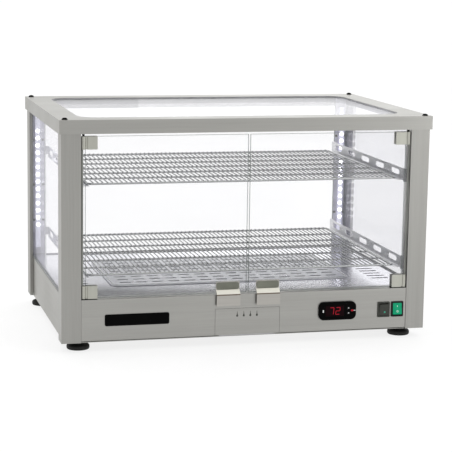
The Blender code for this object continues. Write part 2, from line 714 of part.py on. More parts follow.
def fan():
    """A compact axial fan under the floor's right-hand vents."""
    half = FAN_SIZE / 2
    low = FAN_TOP - FAN_T
    middle = (FAN_TOP + low) / 2
    housing = rounded_box("fan_housing", (VENT_X - half, VENT_Y - half, low),
                          (VENT_X + half, VENT_Y + half, FAN_TOP), 2, 5 * MM, BLACK)
    bore = cylinder("fan_bore", (VENT_X, VENT_Y, middle), FAN_BORE_R, 2 * FAN_T, 2,
                    collection=CUTTERS, sides=32)
    cut(housing, bore)
    spoke_z = low + 1 * MM + FAN_SPOKE_T / 2
    join(housing, cylinder("fan_motor", (VENT_X, VENT_Y, spoke_z), FAN_MOTOR_R,
                           FAN_SPOKE_T + 1 * MM, 2, collection=CUTTERS))
    sunk = 1 * MM
    spoke_in = FAN_MOTOR_R - sunk
    spoke_out = FAN_BORE_R + sunk
    for index in range(FAN_SPOKES):
        angle = index * 2 * math.pi / FAN_SPOKES
        half_x = (spoke_out - spoke_in) / 2
        spoke = tool_box(f"fan_spoke_{index}", (-half_x, -FAN_SPOKE_W / 2, -FAN_SPOKE_T / 2),
                         (half_x, FAN_SPOKE_W / 2, FAN_SPOKE_T / 2))
        reach = (spoke_out + spoke_in) / 2
        spoke.location = (VENT_X + reach * math.cos(angle), VENT_Y + reach * math.sin(angle),
                          spoke_z)
        spoke.rotation_euler = (0, 0, angle)
        join(housing, spoke)
    wheel_low = spoke_z + FAN_SPOKE_T + 1 * MM
    wheel_high = FAN_TOP - 2 * MM
    height = wheel_high - wheel_low
    axis = carrier("fan_axis", (VENT_X, VENT_Y, wheel_low + height / 2))
    wheel = cylinder("fan_impeller", (VENT_X, VENT_Y, wheel_low + height / 2), FAN_HUB_R, height,
                     2, BLACK)
    blade_in = FAN_HUB_R - 1.5 * MM
    half_x = (FAN_BLADE_R - blade_in) / 2
    half_z = FAN_BLADE_SHARE * height / 2
    for index in range(FAN_BLADES):
        angle = index * 2 * math.pi / FAN_BLADES
        blade = tool_box(f"fan_blade_{index}", (-half_x, -FAN_BLADE_T / 2, -half_z),
                         (half_x, FAN_BLADE_T / 2, half_z))
        reach = (FAN_BLADE_R + blade_in) / 2
        blade.location = (VENT_X + reach * math.cos(angle), VENT_Y + reach * math.sin(angle),
                          wheel_low + height / 2)
        blade.rotation_euler = (FAN_BLADE_TILT, 0, angle)
        join(wheel, blade)
    carry(axis, wheel)


# ---------------------------------------------------------------- controls

def controller():
    """The digital temperature controller: bezel, body, window and three keys."""
    face_y = FASCIA_Y - CONTROL_PROUD
    half_w = CONTROL_SIZE[0] / 2
    half_h = CONTROL_SIZE[1] / 2
    bezel = rounded_box("controller_body", (CONTROL_X - half_w, face_y, CONTROL_Z - half_h),
                        (CONTROL_X + half_w, FASCIA_Y - GAP, CONTROL_Z + half_h), 1, CONTROL_R,
                        BLACK, segments=6)
    body_w = CONTROL_CUT[0] / 2 - GAP
    body_h = CONTROL_CUT[1] / 2 - GAP
    join(bezel, tool_box("control_box", (CONTROL_X - body_w, FASCIA_Y - 1 * MM, CONTROL_Z - body_h),
                         (CONTROL_X + body_w, FASCIA_Y + CONTROL_DEPTH, CONTROL_Z + body_h)))
    window_x = CONTROL_X + WINDOW_SHIFT
    low = (window_x - WINDOW_SIZE[0] / 2, face_y, CONTROL_Z - WINDOW_SIZE[1] / 2)
    high = (window_x + WINDOW_SIZE[0] / 2, face_y + WINDOW_T, CONTROL_Z + WINDOW_SIZE[1] / 2)
    pocket = tool_box("window_pocket", (low[0] - GAP, face_y - 1 * MM, low[2] - GAP),
                      (high[0] + GAP, high[1] + GAP, high[2] + GAP))
    cut(bezel, pocket)
    box("controller_window", low, high, LENS)
    for word, (dx, dz) in KEYS.items():
        x = CONTROL_X + dx
        z = CONTROL_Z + dz
        half_x = KEY_SIZE[0] / 2
        half_z = KEY_SIZE[1] / 2
        cut(bezel, tool_box(f"key_{word}_well",
                            (x - half_x - GAP, face_y - 1 * MM, z - half_z - GAP),
                            (x + half_x + GAP, face_y + KEY_DEPTH + KEY_ROOM, z + half_z + GAP)))
        slide = carrier(f"key_{word}_slide", (x, face_y, z))
        key = rounded_box(f"key_{word}", (x - half_x, face_y - KEY_PROUD, z - half_z),
                          (x + half_x, face_y + KEY_DEPTH, z + half_z), 1, 1 * MM, BLACK,
                          segments=2)
        carry(slide, key)


def switches():
    """Two rocker switches, each a snap-in frame with its rocker on a cross axis."""
    for word, (x, tilt) in SWITCHES.items():
        face_y = FASCIA_Y - SWITCH_PROUD
        frame = rounded_box(f"switch_frame_{word}",
                            (x - SWITCH_SIZE[0] / 2, face_y, SWITCH_Z - SWITCH_SIZE[1] / 2),
                            (x + SWITCH_SIZE[0] / 2, FASCIA_Y - GAP, SWITCH_Z + SWITCH_SIZE[1] / 2),
                            1, 1.5 * MM, BLACK, segments=2)
        half_x = SWITCH_CUT[0] / 2 - GAP
        half_z = SWITCH_CUT[1] / 2 - GAP
        join(frame, tool_box(f"switch_box_{word}", (x - half_x, FASCIA_Y - 1 * MM, SWITCH_Z - half_z),
                             (x + half_x, FASCIA_Y + SWITCH_DEPTH, SWITCH_Z + half_z)))
        hole_x = SWITCH_HOLE[0] / 2
        hole_z = SWITCH_HOLE[1] / 2
        cut(frame, tool_box(f"switch_well_{word}", (x - hole_x, face_y - 1 * MM, SWITCH_Z - hole_z),
                            (x + hole_x, face_y + SWITCH_WELL, SWITCH_Z + hole_z)))
        axis = carrier(f"rocker_axis_{word}", (x, face_y + ROCKER_T / 2, SWITCH_Z),
                       (math.radians(tilt), 0, 0))
        low = (x - ROCKER_SIZE[0] / 2, face_y - 1 * MM, SWITCH_Z - ROCKER_SIZE[1] / 2)
        high = (x + ROCKER_SIZE[0] / 2, face_y - 1 * MM + ROCKER_T, SWITCH_Z + ROCKER_SIZE[1] / 2)
        rocker = rounded_box(f"switch_rocker_{word}", low, high, 1, 1 * MM,
                             GREEN if word == "power" else BLACK, segments=2)
        carry(axis, rocker)


# ---------------------------------------------------------------- shelves

def shelf_grid(word, level):
    """A wire shelf: rods from front to back, welded on long wires from side to side."""
    half_w = SHELF_W / 2
    depth = SHELF_BACK_Y - SHELF_FRONT_Y
    trim = 1 * MM
    grid = None
    for index in range(RODS):
        x = -half_w + WIRE / 2 + (SHELF_W - WIRE) * index / (RODS - 1)
        low = (x - WIRE / 2, SHELF_FRONT_Y, level - WIRE)
        high = (x + WIRE / 2, SHELF_BACK_Y, level)
        if grid is None:
            grid = box(f"shelf_{word}", low, high, BRIGHT)
        else:
            join(grid, tool_box(f"rod_{word}_{index}", low, high))
    long_top = level - WIRE / 2
    for index in range(LONG_WIRES):
        y = SHELF_FRONT_Y + trim + WIRE / 2
        y += (depth - WIRE - 2 * trim) * index / (LONG_WIRES - 1)
        join(grid, tool_box(f"long_wire_{word}_{index}",
                            (-half_w + trim, y - WIRE / 2, long_top - WIRE),
                            (half_w - trim, y + WIRE / 2, long_top)))


def bracket(word, level, side):
    """A shelf bracket: an upright with oval holes, a ledge, and tabs onto both posts."""
    ledge_top = level - 1.5 * WIRE - GAP
    low_z = ledge_top - SHEET
    high_z = low_z + BRACKET_H

    def span(x_a, x_b):
        """Two places in X on this side, the lower one first."""
        return sorted((side * x_a, side * x_b))

    near, far = span(BRACKET_X - SHEET, BRACKET_X)
    name = f"shelf_bracket_{word}_{side_name(side)}"
    item = box(name, (near, BRACKET_FRONT_Y, low_z), (far, BRACKET_BACK_Y, high_z), STEEL)
    pitch = (BRACKET_BACK_Y - BRACKET_FRONT_Y) / BRACKET_HOLES
    hole_z = (ledge_top + high_z) / 2 + BRACKET_TRIM
    cells = [((near + far) / 2, BRACKET_FRONT_Y + pitch * (index + 0.5), hole_z)
             for index in range(BRACKET_HOLES)]
    cut(item, tool_cells(name + "_holes", cells, (4 * SHEET, *BRACKET_HOLE), 0, BRACKET_HOLE_R))
    inside = BRACKET_X - SHEET / 2
    near, far = span(BRACKET_X - BRACKET_FLANGE, inside)
    ledge = tool_box(name + "_ledge",
                     (near, BRACKET_FRONT_Y + 2 * BRACKET_TRIM, low_z + BRACKET_TRIM),
                     (far, BRACKET_BACK_Y - 4 * BRACKET_TRIM, ledge_top))
    near, far = span(inside, POST_INNER_X - GAP)
    front_tab = tool_box(name + "_front_tab",
                         (near, BRACKET_FRONT_Y - SHEET / 2, low_z - BRACKET_TAB_DROP),
                         (far, BRACKET_FRONT_Y + SHEET / 2, high_z - BRACKET_TRIM))
    near, far = span(inside, POST_INNER_X + 2 * SHEET)
    rear_tab = tool_box(name + "_rear_tab",
                        (near, BRACKET_BACK_Y - SHEET - BRACKET_TRIM, low_z + BRACKET_H / 4),
                        (far, BRACKET_BACK_Y - BRACKET_TRIM, high_z - BRACKET_TRIM))
    near, far = span(*HOOK_X)
    hook = tool_box(name + "_hook", (near, BRACKET_BACK_Y - SHEET, low_z + HOOK_Z[0]),
                    (far, POST_Y - SHEET - GAP, low_z + HOOK_Z[1]))
    join(item, ledge, front_tab, rear_tab, hook)


def shelves():
    """Two wire shelves, each on a bracket at either side."""
    for word, level in SHELF_LEVELS.items():
        shelf_grid(word, level)
        for side in (-1, 1):
            bracket(word, level, side)


top_frame()
corner_plugs()
posts()
fixed_glass()
light_strips()
doors()
fascia()
base_shell()
floor_and_grille()
drawer()
feet()
cable_gland()
heater()
fan()
controller()
switches()
shelves()
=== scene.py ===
"""Looks of the heated counter-top display case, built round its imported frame.

Metres, +Z up, the doors face -Y.  Places come from the boxes of the frame's own nodes, so each
piece sits where the CAD model has it.  The sizes of the small details are named below.
"""

import json
import math

import bmesh
import bpy
from mathutils import Matrix, Vector


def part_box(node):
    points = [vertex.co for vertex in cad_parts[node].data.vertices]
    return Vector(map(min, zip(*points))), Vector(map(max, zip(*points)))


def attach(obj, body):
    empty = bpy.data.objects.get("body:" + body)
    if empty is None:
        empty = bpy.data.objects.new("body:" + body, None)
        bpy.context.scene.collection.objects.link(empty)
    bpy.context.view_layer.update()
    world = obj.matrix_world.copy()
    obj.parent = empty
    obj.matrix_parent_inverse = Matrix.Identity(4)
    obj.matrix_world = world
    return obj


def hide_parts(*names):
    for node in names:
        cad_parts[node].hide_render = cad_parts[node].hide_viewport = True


MM = 0.001
AXIS_X, AXIS_Y, AXIS_Z = 0, 1, 2

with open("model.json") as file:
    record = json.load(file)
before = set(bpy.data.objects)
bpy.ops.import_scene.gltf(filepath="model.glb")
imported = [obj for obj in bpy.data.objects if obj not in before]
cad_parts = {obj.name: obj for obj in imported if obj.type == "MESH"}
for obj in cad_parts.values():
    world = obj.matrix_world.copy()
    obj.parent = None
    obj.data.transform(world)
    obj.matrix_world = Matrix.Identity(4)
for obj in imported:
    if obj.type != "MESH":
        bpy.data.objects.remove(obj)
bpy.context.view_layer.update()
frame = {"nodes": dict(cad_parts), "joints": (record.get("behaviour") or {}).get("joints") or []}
NODES = frame["nodes"]
SIDES = {"left": -1, "right": 1}
ENDS = ("front", "rear")
CASE = "case"


def scaled(pairs):
    """Pairs of lengths in millimetres, turned into metres."""
    return [(first * MM, second * MM) for first, second in pairs]


# Radii of the softened edges.
PANEL_EDGE = 0.6 * MM
POST_EDGE = 0.5 * MM
SIDE_EDGE = 0.4 * MM
THIN_EDGE = 0.3 * MM
SLAB_EDGE = 0.2 * MM
ARRIS_R = 0.5 * MM

# How far a drawn mark stands out of the face it is on, and how far it sinks into it.
MARK_OUT = 0.12 * MM
MARK_IN = 0.1 * MM
BAR_OUT = 0.15 * MM

# Seals of the fixed glass.
SEAL = 1.2 * MM
SEAL_R = 0.5 * MM
OUTER_SEAL_R = 0.4 * MM
OUTER_SEAL_OUT = 0.2 * MM

# The lid's window: the lid's width round it, its corners, and the gasket in it.
WINDOW_FRAME = 47.2 * MM
WINDOW_R = 38 * MM
GASKET_W = 1.6 * MM
GASKET_DEPTH = 0.9 * MM

# Corner plugs: the dome's width and base and the brim's height, as shares of the plug.
DOME_WIDTH = 0.9
DOME_BASE = 0.18
DOME_STEPS = 8
BRIM_HEIGHT = 0.16

# Lamps: (radius, height) pairs of a lens from its top down, and where the lenses are.
LENS_PROFILE = scaled(((0.0, 1.5), (1.98, 1.35), (3.52, 0.85), (4.4, 0.2), (4.4, -0.3),
                       (0.0, -0.3)))
LAMPS = 14
LAMP_PITCH = 16.6 * MM
LAMPS_LOW_Z = 177.4 * MM

# The pale plates of painted lamp light behind the lamps, and the posts' rack holes with their
# painted shade.
LAMP_LIGHT_X = (347.2 * MM, 373.6 * MM)
LAMP_LIGHT_T = 0.5 * MM
LAMP_LIGHT_GAP = 0.2 * MM
LAMP_LIGHT_LIFT = 0.5 * MM
RACK_X = (351 * MM, 371.3 * MM)
RACK_Z = (188 * MM, 270 * MM, 372 * MM)
RACK_GAP = 3.2 * MM
RACK_SHADE_PROFILE = scaled(((0.0, 1.2), (1.33, 0.9), (1.9, 0.2), (1.9, -1.2), (0.0, -1.2)))

# Shelf wires.  The spaces are one more than the wires or rods between the rim's sides.
RIM_R = 2.3 * MM
RIM_CORNER_R = 9 * MM
LONG_WIRE_R = 2.0 * MM
LONG_WIRE_SPACES = 6
ROD_R = 1.25 * MM
ROD_SPACES = 66

# The grille: its slots, its edge, and the bead round it.
SLOT_COLUMNS, SLOT_ROWS = 14, 8
SLOT_PITCH = (35 * MM, 30 * MM)
SLOT_HALF_X = 13 * MM
SLOT_R = 4.4 * MM
GRILLE_EDGE = 0.25 * MM
GRILLE_CORNER_R = 22 * MM
BEAD_INSET = 6 * MM
BEAD_CORNER_R = 17 * MM
BEAD_R = 1.1 * MM
BEAD_SINK = 0.2 * MM

# Door pulls: the painted shade on the back wall, the painted shadow line, and the two ends of the
# bend's painted highlight, each as how far it is in from the front and down from the top.
WALL_SHADE_GAP = 2.05 * MM
WALL_SHADE_T = 1.3 * MM
WALL_SHADE_DOWN = 1.5 * MM
WALL_SHADE_HEIGHT = 14.5 * MM
WALL_SHADE_INSET = 1 * MM
WALL_SHADE_R = 4.5 * MM
BEND_START, BEND_END = scaled(((0.4, 24.9), (9.1, 16.6)))
BEND_HALF_T = 0.2 * MM
BEND_INSET = 0.3 * MM
SHADOW_LINE_Y = (-0.1 * MM, 0.6 * MM)
SHADOW_LINE_DOWN = (27.4 * MM, 25.4 * MM)

# Door clamps: the socket screws, as (radius, along) pairs, and where they are up a clamp; the
# bearing plates' gaps to the sill and the clamp, and how far they stand past the clamp to the
# left, front and right.
CLAMP_SCREW = scaled(((0.0, 0.8), (1.3, 0.8), (1.5, -0.9), (2.5, -1.0), (2.9, -0.5), (2.9, 0.9),
                      (0.0, 0.9)))
CLAMP_SCREW_IN = 9 * MM
CLAMP_SCREW_SHARES = (0.27, 0.73)
REST_GAP = (0.05 * MM, 0.25 * MM)
REST_PAST = (0.5 * MM, -0.2 * MM, 0.2 * MM)
REST_R = 1.2 * MM

# Door seals, on the hinge edge of the glass.
BULB_R = 2.2 * MM
BULB_OUT = 6.4 * MM
BULB_Y = 1.2 * MM
BULB_GAP = 0.5 * MM
WEB_HALF_T = 0.4 * MM

# The name plate, and the water drops on the drawer.
PLATE_X = (-298 * MM, -165 * MM)
PLATE_Z = (52.5 * MM, 76.5 * MM)
PLATE_DEPTH = (-1.4 * MM, -0.05 * MM)
PLATE_R = 3.5 * MM
DROPS = 4
DROPS_LEFT_X = -22 * MM
DROP_PITCH = 14 * MM
DROP_DOWN = 6.2 * MM
DROP_HEIGHT = 9.2 * MM
DROP_R = 2.2 * MM
DROP_ARC = (-225, 45)
DROP_ARC_STEPS = 14
DROP_NECK_Z = 4 * MM

# Screws of the rear panel, as (radius, along) pairs, and where they are.
PAN_HEAD = scaled(((0.0, -0.6), (1.1, -0.9), (1.4, -1.8), (2.6, -1.5), (3.3, -0.7), (3.4, 0.1),
                   (0.0, 0.1)))
SCREW_COLUMNS = 4
SCREW_INSET = (12 * MM, 9 * MM)

# The cable gland: its nut from the mouth inwards, its neck, and its ribs.
GLAND_NUT = scaled(((0.0, 2.0), (3.6, 2.0), (3.9, 0.0), (5.6, 0.0), (8.2, 1.6), (8.4, 3.6),
                    (11.6, 3.9), (12.0, 4.5)))
GLAND_NECK = scaled(((12.0, -0.3), (7.6, -0.3), (7.6, 1.8), (11.0, 1.8)))
GLAND_TAIL_R = 11 * MM
GLAND_RIBS = 24
RIB_RING_R = 11.9 * MM
RIB_HALF_W = 0.5 * MM
RIB_SPAN = (0.5 * MM, 4.7 * MM)
RIB_R = 0.3 * MM

# Feet: (radius, height) pairs down the hub, and (inset, height) pairs round the disc.
HUB_R = 12 * MM
HUB_SIDE_R = 12.9 * MM
HUB_CHAMFER = 1.2 * MM
FOOT_HUB = scaled(((12.9, 17.2), (12.1, 16.8), (12.9, 16.4), (12.9, 14.4), (12.1, 14.0),
                   (12.9, 13.6), (13.2, 11.6), (14.6, 10.7)))
FOOT_DISC = scaled(((4.0, 9.9), (1.8, 9.0), (0.5, 7.6), (0.0, 6.2), (0.0, 2.6), (0.4, 1.2),
                    (1.4, 0.0), (3.0, 0.0)))

# The controller: its digits, the marks on its bezel, and the marks on its keys.
READING = "72"
DIGIT_HALF = (4.2 * MM, 7.2 * MM)
DIGIT_PITCH = 13.5 * MM
DIGIT_SLANT = 0.1
SEGMENT_W = 1.25 * MM
SEGMENT_GAP = 0.6 * MM
SEGMENTS = {"top": (0, 1, True), "middle": (0, 0, True), "bottom": (0, -1, True),
            "upper_left": (-1, 0.5, False), "upper_right": (1, 0.5, False),
            "lower_left": (-1, -0.5, False), "lower_right": (1, -0.5, False)}
DIGITS = {"7": ("top", "upper_right", "lower_right"),
          "2": ("top", "upper_right", "middle", "lower_left", "bottom")}
BEZEL_EDGE = 0.8 * MM
BAR_X = (8.4 * MM, 10.6 * MM)
BAR_HALF_Z = 2.9 * MM
TICK_X = (5.6 * MM, 1.2 * MM)
TICK_Z = (-0.8 * MM, 0.5 * MM)
SPOT_HALF = (2.9 * MM, 1.7 * MM)
SPOT_R = 1.5 * MM
ARROW_HALF_X = 1.7 * MM
ARROW_BASE = 0.9 * MM
ARROW_TIP = 1.4 * MM

# Switches: the rockers' tilt, their faces from the pivot, and their marks.
ROCKER_TILT = 8.0
ROCKER_FACE = -5.55 * MM
DOT_PROFILE = scaled(((0.0, 0.9), (1.5, 0.6), (2.0, 0.0), (2.0, -0.3), (0.0, -0.3)))
DOT_X, DOT_Z = 2.0 * MM, -5.0 * MM
ON_BAR_HALF_X = 0.7 * MM
ON_BAR_Z = (3.6 * MM, 7.2 * MM)
OFF_RING_R = (1.2 * MM, 2.2 * MM)
OFF_RING_Z = -5.5 * MM
ROCKER_MARK_OUT = 0.1 * MM
ROCKER_MARK_IN = 0.2 * MM

# The camera's place, its turns in degrees, and its lens in millimetres.
CAMERA_PLACE = (-0.856, -3.379, 0.803)
CAMERA_TURNS = {"yaw": 14.49, "pitch": 9.71, "roll": 0.87}
CAMERA_LENS = 128.2

# The studio: the floor, the surroundings' strength and front shade, and the soft lights, each
# with its place, the point it is aimed at, its size and its power.
FLOOR_HALF = 30.0
FLOOR_DROP = 0.2 * MM
FLOOR_GLOW = 0.79
SURROUND_STRENGTH = 1.22
SURROUND_FRONT = (0.61, 0.61, 0.602)
SURROUND_REAR = (1.0, 1.0, 1.0)
SOFTBOXES = {
    "key_light": ((1.4, -2.2, 2.6), (0, 0, 0.2), (1.6, 1.2), 14.5),
    "top_light": ((-0.2, 0.6, 2.8), (0, 0, 0.2), (2.0, 1.6), 14),
    "back_light": ((1.75, 2.9, 0.9), (0.1, 0, 0.45), (2.8, 1.4), 5.5),
    "right_light": ((1.75, -2.3, 0.3), (0.3, 0, 0.2), (0.7, 0.4), 4.5),
}

# Where the painted shade along the floor's front starts to lighten, and where it has gone, along
# Y.
FLOOR_SHADE_Y = (-225 * MM, -135 * MM)


# ---------------------------------------------------------------- materials

class Nodes:
    """A material's node tree, with short calls for the nodes this scene uses."""

    def __init__(self, name):
        self.material = bpy.data.materials.new(name)
        self.material.use_nodes = True
        self.tree = self.material.node_tree
        self.shader = self.tree.nodes["Principled BSDF"]
        self.place = self.tree.nodes.new("ShaderNodeTexCoord").outputs["Object"]

    def link(self, source, target):
        """Connect two sockets, or a socket and one of the shader's inputs by its name."""
        if isinstance(target, str):
            target = self.shader.inputs[target]
        self.tree.links.new(source, target)

    def set(self, **values):
        """Set the shader's own sockets; an underscore in a key stands for a space."""
        for key, value in values.items():
            self.shader.inputs[key.replace("_", " ")].default_value = value

    def noise(self, scale, detail, stretch=(1, 1, 1), distortion=0.0):
        """Noise in the object's own space, with its own stretch along each axis."""
        mapping = self.tree.nodes.new("ShaderNodeMapping")
        mapping.inputs["Scale"].default_value = stretch
        self.link(self.place, mapping.inputs["Vector"])
        noise = self.tree.nodes.new("ShaderNodeTexNoise")
        noise.inputs["Scale"].default_value = scale
        noise.inputs["Detail"].default_value = detail
        noise.inputs["Distortion"].default_value = distortion
        self.link(mapping.outputs["Vector"], noise.inputs["Vector"])
        return noise.outputs["Fac"]

    def ramp(self, source, low, high, start=0.3, end=0.7):
        """A colour between two, by a value."""
        ramp = self.tree.nodes.new("ShaderNodeValToRGB")
        ramp.color_ramp.elements[0].position = start
        ramp.color_ramp.elements[0].color = (*low, 1.0)
        ramp.color_ramp.elements[1].position = end
        ramp.color_ramp.elements[1].color = (*high, 1.0)
        self.link(source, ramp.inputs["Fac"])
        return ramp.outputs["Color"]

    def spread(self, source, low, high, start=0.3, end=0.7):
        """A number between two, by a value."""
        spread = self.tree.nodes.new("ShaderNodeMapRange")
        spread.inputs["From Min"].default_value = start
        spread.inputs["From Max"].default_value = end
        spread.inputs["To Min"].default_value = low
        spread.inputs["To Max"].default_value = high
        self.link(source, spread.inputs["Value"])
        return spread.outputs["Result"]

    def mix(self, first, second, factor):
        """Two colours mixed by a value."""
        mix = self.tree.nodes.new("ShaderNodeMix")
        mix.data_type = "RGBA"
        self.link(factor, mix.inputs["Factor"])
        self.link(first, mix.inputs[6])
        self.link(second, mix.inputs[7])
        return mix.outputs[2]

    def math(self, operation, first, second):
        """One math node on two sockets or numbers."""
        node = self.tree.nodes.new("ShaderNodeMath")
        node.operation = operation
        for value, socket in ((first, node.inputs[0]), (second, node.inputs[1])):
            if isinstance(value, (int, float)):
                socket.default_value = value
            else:
                self.link(value, socket)
        return node.outputs["Value"]

    def bump(self, height, strength, distance):
        """Bump on the shader's normal."""
        bump = self.tree.nodes.new("ShaderNodeBump")
        bump.inputs["Strength"].default_value = strength
        bump.inputs["Distance"].default_value = distance
        self.link(height, bump.inputs["Height"])
        self.link(bump.outputs["Normal"], "Normal")


# Ranges of roughness.
BRIGHT = (0.16, 0.24)
LENS_FINISH = (0.2, 0.3)
SMOOTH = (0.25, 0.35)
SATIN = (0.3, 0.4)
SOFT = (0.35, 0.5)
DULL = (0.5, 0.65)
MATT = (0.5, 0.6)
SEMI_MATT = (0.4, 0.5)


def shade(color, factor):
    """A colour made lighter or darker."""
    return tuple(channel * factor for channel in color)


def brushed(name, color, grain, roughness=(0.3, 0.42), depth=0.05):
    """Brushed stainless steel; grain is the axis along which the brushing runs."""
    nodes = Nodes(name)
    stretch = [1.0, 1.0, 1.0]
    stretch[grain] = 0.012
    fine = nodes.noise(scale=900, detail=3.0, stretch=stretch)
    bands = nodes.noise(scale=120, detail=3.0, stretch=stretch)
    cloud = nodes.noise(scale=7, detail=3.0)
    strands = nodes.ramp(fine, shade(color, 0.9), shade(color, 1.08), start=0.25, end=0.75)
    blotches = nodes.ramp(bands, shade(color, 0.93), shade(color, 1.06))
    nodes.link(nodes.mix(strands, blotches, cloud), "Base Color")
    wear_and_painted_shade = nodes.math("MULTIPLY", nodes.math("ADD", fine, cloud), 0.5)
    nodes.link(nodes.spread(wear_and_painted_shade, *roughness, start=0.35, end=0.65), "Roughness")
    nodes.bump(fine, strength=depth, distance=0.2 * MM)
    nodes.set(Metallic=1.0, Specular_Tint=(0.93, 0.93, 0.92, 1.0))
    return nodes.material


def rolled(nodes, stretch):
    """The faint rolling lines and the wiping marks of bright steel, with the lines' bump."""
    fine = nodes.noise(scale=700, detail=2.0, stretch=stretch)
    marks = nodes.noise(scale=9, detail=3.0, distortion=0.6)
    nodes.bump(fine, strength=0.015, distance=0.05 * MM)
    nodes.set(Metallic=1.0)
    return fine, marks


def polished(name, color, grain, roughness=BRIGHT):
    """Bright-finished stainless steel; grain is the axis along which it was rolled."""
    nodes = Nodes(name)
    stretch = [1.0, 1.0, 1.0]
    stretch[grain] = 0.02
    fine, marks = rolled(nodes, stretch)
    nodes.link(nodes.ramp(fine, shade(color, 0.95), shade(color, 1.04)), "Base Color")
    nodes.link(nodes.spread(marks, *roughness), "Roughness")
    return nodes.material


def floor_sheet(name, front, rest):
    """Bright floor steel, with painted shade along the front: darker colour and tint there."""
    nodes = Nodes(name)
    split = nodes.tree.nodes.new("ShaderNodeSeparateXYZ")
    nodes.link(nodes.place, split.inputs["Vector"])
    fine, marks = rolled(nodes, (0.02, 1.0, 1.0))
    ragged = nodes.math("MULTIPLY", fine, 0.02)
    slant = nodes.math("MULTIPLY", split.outputs["X"], 0.2)
    reach = nodes.math("ADD", nodes.math("ADD", split.outputs["Y"], ragged), slant)
    # Painted shade: the colour and the specular tint darken towards the front and a little to the
    # left, standing in for the dark reflection near the sill.
    wear_and_painted_shade = nodes.spread(reach, 0.0, 1.0, *FLOOR_SHADE_Y)
    nodes.link(nodes.ramp(wear_and_painted_shade, front, rest, start=0.0, end=1.0), "Base Color")
    nodes.link(nodes.ramp(wear_and_painted_shade, front, (1.0, 1.0, 1.0), start=0.0, end=1.0), "Specular Tint")
    nodes.link(nodes.spread(marks, *BRIGHT), "Roughness")
    return nodes.material


def glass(name, haze=0.035, tint=(0.86, 0.86, 0.95)):
    """Clear toughened glass: see-through, with a sheen that grows as it is seen edge-on."""
    nodes = Nodes(name)
    weight = nodes.tree.nodes.new("ShaderNodeLayerWeight")
    weight.inputs["Blend"].default_value = 0.32
    smears = nodes.noise(scale=5, detail=3.0, distortion=0.3)
    film = nodes.spread(smears, haze * 0.9, haze * 1.1)
    sheen = nodes.spread(weight.outputs["Fresnel"], 0.0, 0.3, start=0.0, end=1.0)
    nodes.link(nodes.math("ADD", film, sheen), "Alpha")
    nodes.link(nodes.spread(smears, 0.03, 0.04), "Roughness")
    nodes.set(Base_Color=(*tint, 1.0), IOR=1.5, Specular_IOR_Level=0.8)
    return nodes.material


def glass_edge(name):
    """The ground edge of a pane: grey-green and frosted."""
    nodes = Nodes(name)
    ground = nodes.noise(scale=600, detail=3.0)
    nodes.link(nodes.ramp(ground, (0.14, 0.165, 0.155), (0.28, 0.31, 0.3)), "Base Color")
    nodes.link(nodes.spread(ground, 0.25, 0.5), "Roughness")
    nodes.bump(ground, strength=0.1, distance=0.1 * MM)
    nodes.set(Alpha=0.75, IOR=1.5)
    return nodes.material


def moulded(name, color, roughness=SOFT, grain=1400, depth=0.12, shine=0.5):
    """Moulded plastic or rubber with a fine texture."""
    nodes = Nodes(name)
    spark = nodes.noise(scale=grain, detail=2.0)
    cloud = nodes.noise(scale=30, detail=4.0)
    nodes.link(nodes.ramp(cloud, shade(color, 0.85), shade(color, 1.2)), "Base Color")
    nodes.link(nodes.spread(cloud, *roughness), "Roughness")
    nodes.bump(spark, strength=depth, distance=0.2 * MM)
    nodes.set(Specular_IOR_Level=shine)
    return nodes.material


def lit(name, color, glow, strength, roughness=(0.15, 0.25), shine=0.25):
    """Plastic that glows: a lens, a lamp or a display's segment; on the white printed marks the
    glow is painted light.
    """
    nodes = Nodes(name)
    cloud = nodes.noise(scale=160, detail=3.0)
    nodes.link(nodes.ramp(cloud, shade(color, 0.85), shade(color, 1.1)), "Base Color")
    nodes.link(nodes.spread(cloud, *roughness), "Roughness")
    nodes.link(nodes.ramp(cloud, shade(glow, 0.8), glow), "Emission Color")
    nodes.set(Emission_Strength=strength, Specular_IOR_Level=shine)
    return nodes.material


# After its name and colour, brushed takes the grain's axis, roughness and depth; moulded takes
# roughness, grain, depth and shine; lit takes the glow's colour and strength, and roughness.
STEEL_COLOR = (0.352, 0.348, 0.33)
STEEL_X = brushed("brushed_steel_across", STEEL_COLOR, AXIS_X)
STEEL_Y = brushed("brushed_steel_deep", STEEL_COLOR, AXIS_Y)
# The posts' steel is a darker copy of the case steel: painted shade on the upright posts.
STEEL_Z = brushed("brushed_steel_upright", shade(STEEL_COLOR, 0.93), AXIS_Z)
CLAMP_STEEL = brushed("satin_clamp_steel", (0.43, 0.43, 0.385), AXIS_Z, (0.35, 0.48), 0.08)
PULL_STEEL = brushed("satin_pull_steel", (0.4, 0.385, 0.36), AXIS_X, SATIN)
# Painted shadow: the dark brown line under each pull's bend.
PULL_SHADOW_LINE = moulded("pull_painted_shadow_line", (0.1, 0.068, 0.042), MATT, 700, 0.1, 0.2)
# Painted highlight: a much lighter copy of the pull steel for the upward-facing bend.
PULL_BEND_HIGHLIGHT = brushed("pull_bend_painted_highlight", (0.8, 0.78, 0.7), AXIS_X, SATIN)
# The floor's first colour is the painted shade along its front.
FLOOR_STEEL = floor_sheet("polished_floor_steel", (0.44, 0.445, 0.445), (0.68, 0.68, 0.72))
TRAY_STEEL = polished("polished_tray_steel", (0.45, 0.45, 0.47), AXIS_X)
GRILLE_STEEL = polished("polished_grille_steel", (0.44, 0.445, 0.47), AXIS_X, (0.26, 0.34))
WIRE_STEEL = polished("polished_wire_steel", (0.42, 0.43, 0.42), AXIS_X)
